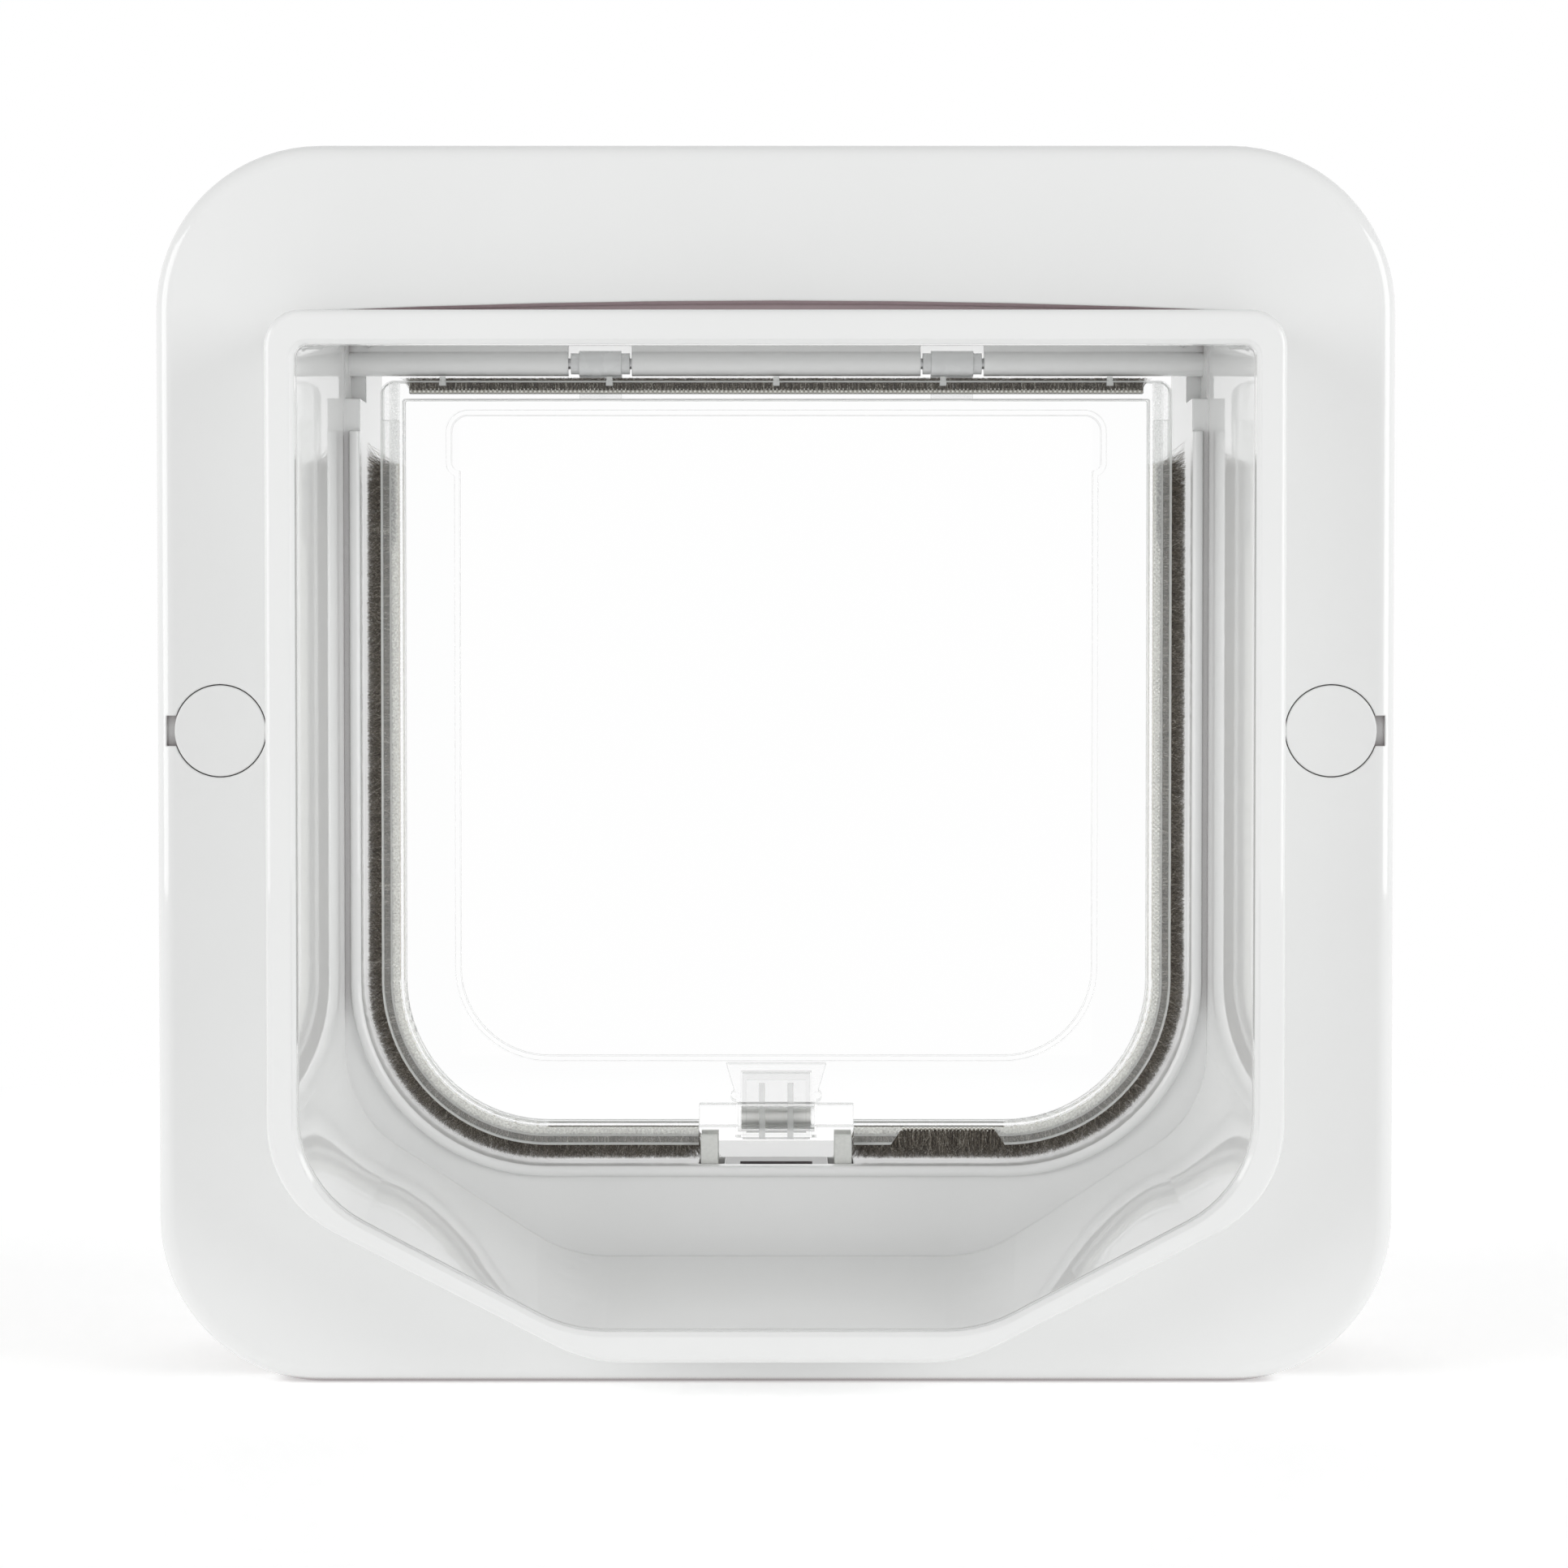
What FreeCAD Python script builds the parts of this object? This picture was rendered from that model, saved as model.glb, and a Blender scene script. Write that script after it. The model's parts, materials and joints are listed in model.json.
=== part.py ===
import FreeCAD, Part
import math
import os

# Chip-reading cat flap, fitted through a door. +Z is up, +X is to the right seen from
# outdoors, and +Y runs through the door from outdoors to indoors. The origin is on the
# door's outer face, at the middle of the outer frame. All sizes are in millimetres.

os.makedirs("parts", exist_ok=True)

V = FreeCAD.Vector
ALONG_X = V(1, 0, 0)
ALONG_Y = V(0, 1, 0)
ALONG_Z = V(0, 0, 1)

# Door and the two square frames that clamp it
DOOR_THICKNESS = 40.0
FRAME_SIDE = 210.0
FRAME_CORNER = 28.0
FRAME_THICKNESS = 9.0
FRAME_WALL = 2.5
FRAME_EDGE_ROUND = 3.0

# Collar that stands out from the outer frame, set in from the frame's edges
COLLAR_DEPTH = 26.0
COLLAR_SIDE_INSET = 20.9
COLLAR_HALF = FRAME_SIDE / 2 - COLLAR_SIDE_INSET
COLLAR_TOP_INSET = 29.6
COLLAR_TOP = FRAME_SIDE / 2 - COLLAR_TOP_INSET
COLLAR_FOOT_INSET = 6.6
COLLAR_BOTTOM = -FRAME_SIDE / 2 + COLLAR_FOOT_INSET
COLLAR_SLANT_RUN = 52.9
COLLAR_SLANT_RISE = 27.2
COLLAR_HIP_ROUND = 20.0
COLLAR_TOE_ROUND = 24.0
COLLAR_TOP_ROUND = 6.0
RIM_SIDE = 5.0
RIM_TOP = 5.7
RIM_FOOT = 5.2
RIM_HIP = 1.7
RIM_TOE = 3.0
RIM_LIP = 3.0
RIM_ROUND = 1.2
RIM_CHAMFER = 0.7
MOUTH_TOP_ROUND = 2.0

# Drip channel in the outer frame above the collar
DRIP_INSET = 3.5
DRIP_HALF = COLLAR_HALF - DRIP_INSET
DRIP_RISE = 3.2
DRIP_END_RISE = 1.4
DRIP_DEPTH = 6.0

# Tunnel: it tapers from the collar's lip to the plate in front of the flap
TUNNEL_WALL = 2.0
SLIDE_FIT = 0.3
LIP_GAP = 0.4
PLATE_Y = 26.0
PLATE_THICKNESS = 2.0
THROAT_TAPER = 1.9
THROAT_ROOF_RISE = 5.3
THROAT_FLOOR_RISE = 4.5
THROAT_HIP_RISE = 6.7
THROAT_TOE_SHIFT = 2.9

# Flap opening behind the plate, and the passage that goes on indoors
OPENING_SIDE_INSET = 9.8
OPENING_HALF = COLLAR_HALF - OPENING_SIDE_INSET
OPENING_TOP_INSET = 0.4
OPENING_TOP = COLLAR_TOP - OPENING_TOP_INSET
SILL_RISE = 26.0
SILL = COLLAR_BOTTOM + SILL_RISE
OPENING_CORNER = 33.0
OPENING_TOP_ROUND = 2.5
PASSAGE_WALL = 2.4
PASSAGE_END = 62.0
BEAD_WIDTH = 1.9
BEAD_PROUD = 1.2
BEAD_ROUND = 0.8
BEAD_BELOW_HINGE = 12.6

# Hinge along the roof of the opening
HINGE_Y = 33.0
HINGE_DROP = 3.3
HINGE_Z = OPENING_TOP - HINGE_DROP
HINGE_BAR_RADIUS = 2.24
HINGE_BAR_WEB = 2.0
KNUCKLE_X = 31.7
KNUCKLE_RADIUS = 2.3
KNUCKLE_LENGTH = 7.6
KNUCKLE_NECK_RADIUS = 1.9
KNUCKLE_NECK = 1.5
KNUCKLE_GAP = 0.4
PIN_RADIUS = 1.0
PIN_FIT = 0.05
PIN_LENGTH = 22.0
EAR_DEPTH = 10.0
EAR_WALL = 2.0
EAR_REACH = 2.6
EAR_DROP = 6.8

# Clear flap with a grooved edge that holds the pile seal
FLAP_THICKNESS = 1.8
FLAP_TO_OPENING = 3.1
FLAP_HALF = OPENING_HALF - FLAP_TO_OPENING
FLAP_DROP = 3.2
FLAP_TOP = HINGE_Z - FLAP_DROP
FLAP_FOOT = SILL + FLAP_TO_OPENING
FLAP_CORNER = OPENING_CORNER - FLAP_TO_OPENING
FLAP_TOP_ROUND = 2.5
EDGE_THICKNESS = 5.0
EDGE_WIDTH = 4.2
EDGE_TOP_WIDTH = 3.4
EDGE_ROUND = 0.35
GROOVE_WIDTH = 2.6
GROOVE_DEPTH = 3.2
TOP_GROOVE_DEPTH = 2.2
SHOULDER_HEIGHT = 7.0
PILE_FIT = 0.1
PILE_TO_WALL = 0.3
SIDE_PILE_DROP = 14.8
SIDE_PILE_TOP = FLAP_TOP - SIDE_PILE_DROP
TOP_PILE_PROUD = 0.7
TOP_PILE_TIP = FLAP_TOP + TOP_PILE_PROUD
TOP_PILE_INSET = 5.2
TOP_PILE_HALF = FLAP_HALF - TOP_PILE_INSET
PEG_COUNT = 5
PEG_RADIUS = 0.55
PEG_END_INSET = 11.2
PEG_LENGTH = 1.6
WINDOW_SIDE_INSET = 14.1
WINDOW_TOP_INSET = 6.1
WINDOW_FOOT_INSET = 16.0
WINDOW_CORNER = 16.0
WINDOW_TOP_ROUND = 3.0
WINDOW_STEP = 1.5
WINDOW_STEP_DROP = 10.0
WINDOW_RIB = 1.0
WINDOW_RIB_HEIGHT = 0.6
LIP_NOTCH_X = 31.0
LIP_NOTCH_FOOT = 11.0
LIP_NOTCH_HEAD = 8.2

# Lock tabs that rise through the sill, and what drives them
TAB_X = 12.05
TAB_WIDTH = 3.1
TAB_PROUD = 5.1
TAB_TOP = SILL + TAB_PROUD
TAB_PRONG = 1.4
TAB_FRONT = 28.6
TAB_BACK = 37.4
TAB_FORK = 13.4
TAB_BASE = 2.0
TAB_SLOT_GAP = 0.3
TAB_SLOT_INNER_GAP = 1.2
STEM_RADIUS = 1.5
STEM_LENGTH = 9.0
STEM_FIT = 0.1
TAB_FOOT = TAB_TOP - TAB_FORK - TAB_BASE
STEM_END = TAB_FOOT - STEM_LENGTH
CASE_WALL = 1.5
CASE_BACK = 39.6
CASE_TO_TAB = 0.3
CASE_TOP = TAB_FOOT - CASE_TO_TAB
ACTUATOR_FLOOR = 1.0
ACTUATOR_BELOW_STEM = 1.2
CASE_BOTTOM = STEM_END - ACTUATOR_BELOW_STEM - ACTUATOR_FLOOR - CASE_WALL
ACTUATOR_WIDTH = 9.0
ACTUATOR_GAP = 0.1
ACTUATOR_HEIGHT = 10.0
ACTUATOR_COIL_RADIUS = 3.3
CASE_SPARE = 2.95
CASE_HALF = TAB_X + ACTUATOR_WIDTH / 2 + CASE_WALL + CASE_SPARE
ACTUATOR_YOKE = 1.5

# Manual lock and its clear guide, in a notch at the foot of the flap
NOTCH_TO_TAB = 0.4
NOTCH_HALF = TAB_X + TAB_WIDTH / 2 + NOTCH_TO_TAB
NOTCH_HEIGHT = 7.2
GUIDE_FIT = 0.1
GUIDE_HALF = NOTCH_HALF - GUIDE_FIT
GUIDE_LIFT = 3.2
SLIDE_HALF = 6.1
SLIDE_TOP_RISE = 13.1
SLIDE_TOP = FLAP_FOOT + SLIDE_TOP_RISE
SLIDE_FOOT_RISE = 1.3
SLIDE_FOOT = FLAP_FOOT + SLIDE_FOOT_RISE
SLIDE_FRONT = 28.5
SLIDE_BACK = 31.5
SLIDE_GAP = 0.3
SLIDE_FRAME = 0.7
SLIDE_BASE = 1.2
SLIDE_SKIN = 0.8
SLIDE_WINDOW_HEIGHT = 4.4
GRIP_X = 2.55
GRIP_WIDTH = 1.1
GRIP_HEIGHT = 0.8
GRIP_LENGTH = 3.8
GRIP_DROP = 1.6
HOLDER_TOP_RISE = 14.9
HOLDER_TOP = FLAP_FOOT + HOLDER_TOP_RISE
HOLDER_TOP_HALF = 9.0
HOLDER_WAIST_RISE = 9.1
HOLDER_WAIST = FLAP_FOOT + HOLDER_WAIST_RISE
HOLDER_HALF = 7.3
HOLDER_FOOT_RISE = 1.7
HOLDER_FOOT = FLAP_FOOT + HOLDER_FOOT_RISE
HOLDER_FRONT = 27.6
HOLDER_WINDOW_HALF = 5.3
HOLDER_WINDOW_DROP = 1.0
DETENT_RADIUS = 0.9
DETENT_HEIGHT = 0.5
MAGNET_RADIUS = 2.0
MAGNET_LENGTH = 12.6
MAGNET_RISE = 4.5
MAGNET_Z = FLAP_FOOT + MAGNET_RISE
MAGNET_WALL = 0.6
MAGNET_FIT = 0.05
KEEPER_HALF = 9.2
KEEPER_THICKNESS = 1.2
KEEPER_END = 38.0
KEEPER_GAP = 0.4

# Reader coil wound round the tunnel inside the door
COIL_Y = 4.0
COIL_WIDTH = 5.0
COIL_THICKNESS = 1.5
COIL_FIT = 0.2

# Screws, their bosses and caps at the middle of each side
SCREW_INSET = 11.0
SCREW_X = FRAME_SIDE / 2 - SCREW_INSET
SCREW_Z = 6.0
CAP_RADIUS = 7.7
CAP_GAP = 0.2
CAP_THICKNESS = 1.6
CAP_PLUG_RADIUS = 5.6
CAP_PLUG_WALL = 1.0
CAP_PLUG_LENGTH = 1.8
PRY_HEIGHT = 5.1
PRY_WIDTH = 1.2
BOSS_RADIUS = 9.3
SCREW_HEAD_RADIUS = 3.8
SCREW_HEAD_HEIGHT = 2.4
HEAD_POCKET_RADIUS = 6.6
HEAD_SEAT = 1.8
SCREW_RADIUS = 2.0
SCREW_SHOULDER_RADIUS = 2.2
SCREW_END_GAP = 0.5
THREAD_RADIUS = 1.9
SCREW_HOLE_RADIUS = 2.4
NUT_BOSS_RADIUS = 6.0
NUT_BOSS_END = 1.6
THREAD_FIT = 0.05
DRIVE_SLOT_WIDTH = 1.2
DRIVE_SLOT_DEPTH = 1.3

# Control housing on the indoor face, above the passage. Its length follows the cells and the board.
CELL_RADIUS = 7.1
CELL_LENGTH = 49.0
NIPPLE_RADIUS = 2.7
NIPPLE_LENGTH = 1.3
CELL_GAP = 0.5
CELL_FLOOR_GAP = 0.1
BOARD_HALF = 29.0
BOARD_THICKNESS = 1.6
BOARD_HEIGHT = 16.0
BOARD_BACK = 17.0
BOARD_TO_BAY = 5.5
BAY_END = 3.5
COVER_MARGIN = 1.85
COVER_HALF = (CELL_LENGTH + NIPPLE_LENGTH) / 2 + COVER_MARGIN
COVER_X = BOARD_HALF + BOARD_TO_BAY + COVER_HALF
HOUSING_HALF = COVER_X + COVER_HALF + BAY_END
HOUSING_TO_PASSAGE = 2.1
HOUSING_BOTTOM = OPENING_TOP + PASSAGE_WALL + HOUSING_TO_PASSAGE
HOUSING_HEIGHT = 22.5
HOUSING_DEPTH = 35.0
HOUSING_WALL = 2.0
HOUSING_ROUND = 3.0
COVER_HEIGHT = 16.0
COVER_GAP = 0.2
COVER_LIP = 1.5
COVER_LIP_HALF_HEIGHT = 1.0
COVER_LIP_INSET = 2.0
COVER_GRIP_COUNT = 5
COVER_GRIP_PITCH = 2.0
COVER_GRIP_WIDTH = 0.8
COVER_GRIP_HALF = 8.0
COVER_GRIP_DEPTH = 0.5
POST_RADIUS = 2.0
POST_INSET = 3.0
CHIP_X = 19.0
CHIP_HALF = 5.0
CHIP_THICKNESS = 1.2
BUTTON_X = -8.0
BUTTON_RADIUS = 4.0
BUTTON_FIT = 0.25
BUTTON_PROUD = 1.2
BUTTON_STEM_RADIUS = 1.6
BUTTON_STEM_GAP = 0.2
BUTTON_FLANGE_RADIUS = 5.2
BUTTON_FLANGE = 1.0
BUTTON_TRAVEL = 1.0
SWITCH_HALF = 3.0
SWITCH_HEIGHT = 3.5
LIGHT_X = 8.0
LIGHT_RADIUS = 1.5
LIGHT_PROUD = 0.3

# How far a cutting tool runs past the surface that it cuts
THROUGH = 1.0


def box(x0, x1, y0, y1, z0, z1):
    """A block between two corners."""
    return Part.makeBox(x1 - x0, y1 - y0, z1 - z0, V(x0, y0, z0))


def rod(radius, length, start, direction):
    """A round bar from a start point."""
    return Part.makeCylinder(radius, length, start, direction)


def rounded_wire(points, radii, y):
    """A closed outline in the XZ plane at a depth, with each corner rounded by an arc."""
    edges = []
    count = len(points)
    ends = []
    for i in range(count):
        before = V(points[i - 1][0], y, points[i - 1][1])
        corner = V(points[i][0], y, points[i][1])
        after = V(points[(i + 1) % count][0], y, points[(i + 1) % count][1])
        back = (before - corner).normalize()
        on = (after - corner).normalize()
        half_angle = back.getAngle(on) / 2
        reach = radii[i] / math.tan(half_angle)
        middle = (back + on).normalize()
        centre = corner + middle * (radii[i] / math.sin(half_angle))
        start = corner + back * reach
        end = corner + on * reach
        crown = centre - middle * radii[i]
        ends.append((start, crown, end))
    for i in range(count):
        start, crown, end = ends[i]
        edges.append(Part.Arc(start, crown, end).toShape())
        following = ends[(i + 1) % count][0]
        edges.append(Part.LineSegment(end, following).toShape())
    return Part.Wire(edges)


def grown(points, distance):
    """The corners of a convex outline, listed clockwise from the front, moved outwards."""
    moved = []
    count = len(points)
    for i in range(count):
        before = V(points[i - 1][0], 0, points[i - 1][1])
        corner = V(points[i][0], 0, points[i][1])
        after = V(points[(i + 1) % count][0], 0, points[(i + 1) % count][1])
        back = (before - corner).normalize()
        on = (after - corner).normalize()
        half_angle = back.getAngle(on) / 2
        outward = (back + on).normalize() * (-distance / math.sin(half_angle))
        place = corner + outward
        moved.append((place.x, place.z))
    return moved


class Outline:
    """A closed outline with rounded corners that can be grown and laid at any depth."""

    def __init__(self, points, radii):
        self.points = points
        self.radii = radii

    def grow(self, distance):
        radii = [max(radius + distance, 0.3) for radius in self.radii]
        return Outline(grown(self.points, distance), radii)

    def wire(self, y):
        return rounded_wire(self.points, self.radii, y)

    def prism(self, y0, y1):
        face = Part.Face(self.wire(y0))
        return face.extrude(V(0, y1 - y0, 0))


def square_outline(side, radius):
    """The outline of a square frame."""
    half = side / 2
    points = [(-half, half), (half, half), (half, -half), (-half, -half)]
    return Outline(points, [radius] * 4)


def tunnel_outline(half, top, bottom, flat, hip, top_round, hip_round, toe_round):
    """A straight-sided outline whose lower corners are cut off at a slant."""
    points = [(-half, top), (half, top), (half, hip), (flat, bottom), (-flat, bottom), (-half, hip)]
    radii = [top_round, top_round, hip_round, toe_round, toe_round, hip_round]
    return Outline(points, radii)


def opening_outline(half, top, bottom, corner, top_round):
    """A straight-sided outline with two large round lower corners."""
    points = [(-half, top), (half, top), (half, bottom), (-half, bottom)]
    return Outline(points, [top_round, top_round, corner, corner])


def loft(first, first_y, last, last_y):
    """A solid that runs straight from one outline to another."""
    return Part.makeLoft([first.wire(first_y), last.wire(last_y)], True, True)


def mirrored(shape):
    """The same shape on the other side of the middle."""
    return shape.mirror(V(0, 0, 0), ALONG_X)


def front_edges(shape, y):
    """The edges that lie wholly at one depth."""
    found = []
    for edge in shape.Edges:
        bounds = edge.BoundBox
        if abs(bounds.YMin - y) < 0.001 and abs(bounds.YMax - y) < 0.001:
            found.append(edge)
    return found


def save(shape, name):
    """Write one node and say how large it is."""
    shape.exportStep("parts/" + name + ".step")
    print(name, len(shape.Solids), round(shape.Volume, 1), shape.isValid())


# Outlines and places shared by the pieces
FRAME = square_outline(FRAME_SIDE, FRAME_CORNER)
COLLAR_FLAT = COLLAR_HALF - COLLAR_SLANT_RUN
COLLAR_HIP = COLLAR_BOTTOM + COLLAR_SLANT_RISE
COLLAR = tunnel_outline(COLLAR_HALF, COLLAR_TOP, COLLAR_BOTTOM, COLLAR_FLAT, COLLAR_HIP,
                        COLLAR_TOP_ROUND, COLLAR_HIP_ROUND, COLLAR_TOE_ROUND)
MOUTH_HALF = COLLAR_HALF - RIM_SIDE
MOUTH_TOP = COLLAR_TOP - RIM_TOP
MOUTH_BOTTOM = COLLAR_BOTTOM + RIM_FOOT
MOUTH = tunnel_outline(MOUTH_HALF, MOUTH_TOP, MOUTH_BOTTOM, COLLAR_FLAT + RIM_TOE, COLLAR_HIP + RIM_HIP,
                       MOUTH_TOP_ROUND, COLLAR_HIP_ROUND, COLLAR_TOE_ROUND)
TUNNEL_START = -COLLAR_DEPTH + RIM_LIP + LIP_GAP
THROAT_HALF = MOUTH_HALF - THROAT_TAPER
THROAT = tunnel_outline(THROAT_HALF, MOUTH_TOP + THROAT_ROOF_RISE, MOUTH_BOTTOM + THROAT_FLOOR_RISE,
                        COLLAR_FLAT + RIM_TOE + THROAT_TOE_SHIFT, COLLAR_HIP + RIM_HIP + THROAT_HIP_RISE,
                        MOUTH_TOP_ROUND, COLLAR_HIP_ROUND, COLLAR_TOE_ROUND)
OPENING = opening_outline(OPENING_HALF, OPENING_TOP, SILL, OPENING_CORNER, OPENING_TOP_ROUND)
INNER_Y = DOOR_THICKNESS
INNER_FACE = DOOR_THICKNESS + FRAME_THICKNESS
HOUSING_FACE = INNER_FACE + HOUSING_DEPTH
HOUSING_TOP = HOUSING_BOTTOM + HOUSING_HEIGHT
HOUSING_MID = (HOUSING_BOTTOM + HOUSING_TOP) / 2
BOARD_Y = INNER_FACE + BOARD_BACK
NOTCH_TOP = FLAP_FOOT + NOTCH_HEIGHT
FLAP_FRONT = HINGE_Y - EDGE_THICKNESS / 2
FLAP_BACK = HINGE_Y + EDGE_THICKNESS / 2
PANEL_FRONT = HINGE_Y - FLAP_THICKNESS / 2
PANEL_BACK = HINGE_Y + FLAP_THICKNESS / 2
GROOVE_FRONT = HINGE_Y - GROOVE_WIDTH / 2
GROOVE_BACK = HINGE_Y + GROOVE_WIDTH / 2
MAGNET_Y = PANEL_BACK + MAGNET_RADIUS + MAGNET_FIT


def flap_outline(inset, top_inset):
    """The outline of the flap, moved inwards by one distance all round and another at the top."""
    return opening_outline(FLAP_HALF - inset, FLAP_TOP - top_inset, FLAP_FOOT + inset,
                           FLAP_CORNER - inset, max(FLAP_TOP_ROUND - inset, 0.3))


FLAP = flap_outline(0, 0)


def square_frame(y_open, y_face):
    """A shallow square moulding, hollow towards the door, with its outer edge rounded."""
    body = FRAME.prism(y_open, y_face)
    body = body.makeFillet(FRAME_EDGE_ROUND, front_edges(body, y_face))
    inward = math.copysign(FRAME_WALL, y_face - y_open)
    hollow = FRAME.grow(-FRAME_WALL).prism(y_open, y_face - inward)
    return body.cut(hollow)


def drip_channel():
    """The long slot over the collar, with a gently bowed upper edge."""
    low = COLLAR_TOP
    left = V(-DRIP_HALF, -FRAME_THICKNESS, low)
    right = V(DRIP_HALF, -FRAME_THICKNESS, low)
    left_top = V(-DRIP_HALF + DRIP_END_RISE, -FRAME_THICKNESS, low + DRIP_END_RISE)
    right_top = V(DRIP_HALF - DRIP_END_RISE, -FRAME_THICKNESS, low + DRIP_END_RISE)
    crown = V(0, -FRAME_THICKNESS, low + DRIP_RISE)
    edges = [
        Part.LineSegment(left, left_top).toShape(),
        Part.Arc(left_top, crown, right_top).toShape(),
        Part.LineSegment(right_top, right).toShape(),
        Part.LineSegment(right, left).toShape(),
    ]
    return Part.Face(Part.Wire(edges)).extrude(V(0, DRIP_DEPTH, 0))


def cap_pocket(side):
    """The stepped pocket for one screw head and its cap, with a slot to prise the cap out."""
    x = side * SCREW_X
    face = -FRAME_THICKNESS
    start = V(x, face, SCREW_Z)
    seat = rod(CAP_RADIUS + CAP_GAP, CAP_THICKNESS, start, ALONG_Y)
    head = rod(HEAD_POCKET_RADIUS, FRAME_THICKNESS - HEAD_SEAT, start, ALONG_Y)
    shank = rod(SCREW_HOLE_RADIUS, FRAME_THICKNESS, start, ALONG_Y)
    edge = x + side * (CAP_RADIUS + CAP_GAP + PRY_WIDTH)
    slot = box(min(x, edge), max(x, edge), face, face + CAP_THICKNESS,
               SCREW_Z - PRY_HEIGHT / 2, SCREW_Z + PRY_HEIGHT / 2)
    return seat.fuse([head, shank, slot])


def tunnel_section(y):
    """The tunnel's inner outline at a depth along its taper."""
    share = (y - TUNNEL_START) / (PLATE_Y - TUNNEL_START)
    points = []
    for start, end in zip(MOUTH.points, THROAT.points):
        points.append((start[0] + (end[0] - start[0]) * share, start[1] + (end[1] - start[1]) * share))
    return Outline(points, MOUTH.radii)


def make_outer_frame():
    """The outdoor moulding: square frame, collar with its lip, drip channel and screw pockets."""
    face = -FRAME_THICKNESS
    frame = square_frame(0, face)
    collar = COLLAR.prism(-COLLAR_DEPTH, 0)
    collar = collar.makeFillet(RIM_ROUND, front_edges(collar, -COLLAR_DEPTH))
    channel_wall = box(-DRIP_HALF - FRAME_WALL, DRIP_HALF + FRAME_WALL, face + FRAME_WALL, 0,
                       COLLAR_TOP - FRAME_WALL, COLLAR_TOP + DRIP_RISE + FRAME_WALL)
    bosses = []
    for side in (-1, 1):
        bosses.append(rod(BOSS_RADIUS, FRAME_THICKNESS - FRAME_WALL,
                          V(side * SCREW_X, face + FRAME_WALL, SCREW_Z), ALONG_Y))
    inside = FRAME.grow(-FRAME_WALL / 2).prism(face, 0)
    bosses = [boss.common(inside) for boss in bosses]
    body = frame.fuse([collar, channel_wall] + bosses)
    clear_of_tunnel = TUNNEL_WALL + SLIDE_FIT
    lip_y = -COLLAR_DEPTH + RIM_LIP
    bore = loft(tunnel_section(lip_y).grow(clear_of_tunnel), lip_y,
                tunnel_section(THROUGH).grow(clear_of_tunnel), THROUGH)
    mouth = MOUTH.prism(-COLLAR_DEPTH - THROUGH, lip_y + THROUGH)
    flare = loft(MOUTH.grow(RIM_CHAMFER), -COLLAR_DEPTH, MOUTH, -COLLAR_DEPTH + RIM_CHAMFER)
    body = body.cut([bore, mouth, flare, drip_channel(), cap_pocket(-1), cap_pocket(1)])
    return body.removeSplitter()


def knuckle_half():
    """Half the length of one hinge knuckle with both its necks."""
    return KNUCKLE_LENGTH / 2 + KNUCKLE_NECK


def hinge_bars():
    """Three round hinge bars hung from the roof, with a gap for each knuckle of the flap."""
    gap_half = knuckle_half() + KNUCKLE_GAP
    end = THROAT_HALF + EAR_WALL / 2
    spans = [
        (-end, -KNUCKLE_X - gap_half),
        (-KNUCKLE_X + gap_half, KNUCKLE_X - gap_half),
        (KNUCKLE_X + gap_half, end),
    ]
    pieces = []
    for x0, x1 in spans:
        pieces.append(rod(HINGE_BAR_RADIUS, x1 - x0, V(x0, HINGE_Y, HINGE_Z), ALONG_X))
        pieces.append(box(x0, x1, HINGE_Y - HINGE_BAR_WEB / 2, HINGE_Y + HINGE_BAR_WEB / 2,
                          HINGE_Z, OPENING_TOP + PASSAGE_WALL / 2))
    return pieces


def pin_bores():
    """The holes in the hinge bars that the two short pins are pressed into."""
    bores = []
    for side in (-1, 1):
        start = V(side * KNUCKLE_X - PIN_LENGTH / 2, HINGE_Y, HINGE_Z)
        bores.append(rod(PIN_RADIUS, PIN_LENGTH, start, ALONG_X))
    return bores


def tab_slots():
    """The slots in the sill that the two lock tabs rise through, wider on their inner side."""
    half = TAB_WIDTH / 2
    left = box(-TAB_X - half - TAB_SLOT_GAP, -TAB_X + half + TAB_SLOT_INNER_GAP,
               TAB_FRONT - TAB_SLOT_GAP, TAB_BACK + TAB_SLOT_GAP,
               SILL - PASSAGE_WALL - THROUGH, SILL + THROUGH)
    return [left, mirrored(left)]


def hinge_ear(half, y0, y1, grow):
    """The block round one end of the hinge, on the left, grown by a wall."""
    z0 = HINGE_Z - EAR_DROP - grow
    return box(-half - grow, -OPENING_HALF + THROUGH, y0, y1, z0, OPENING_TOP + grow)


def bead():
    """The rounded bead on the plate round the opening, up to the ears of the hinge."""
    front = PLATE_Y - BEAD_PROUD
    ring = OPENING.grow(BEAD_WIDTH).prism(front, PLATE_Y).cut(OPENING.prism(front, PLATE_Y))
    ring = ring.makeFillet(BEAD_ROUND, front_edges(ring, front))
    top = HINGE_Z - BEAD_BELOW_HINGE
    above = box(-THROAT_HALF, THROAT_HALF, front, PLATE_Y, top, OPENING_TOP + BEAD_WIDTH)
    return ring.cut(above)


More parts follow.
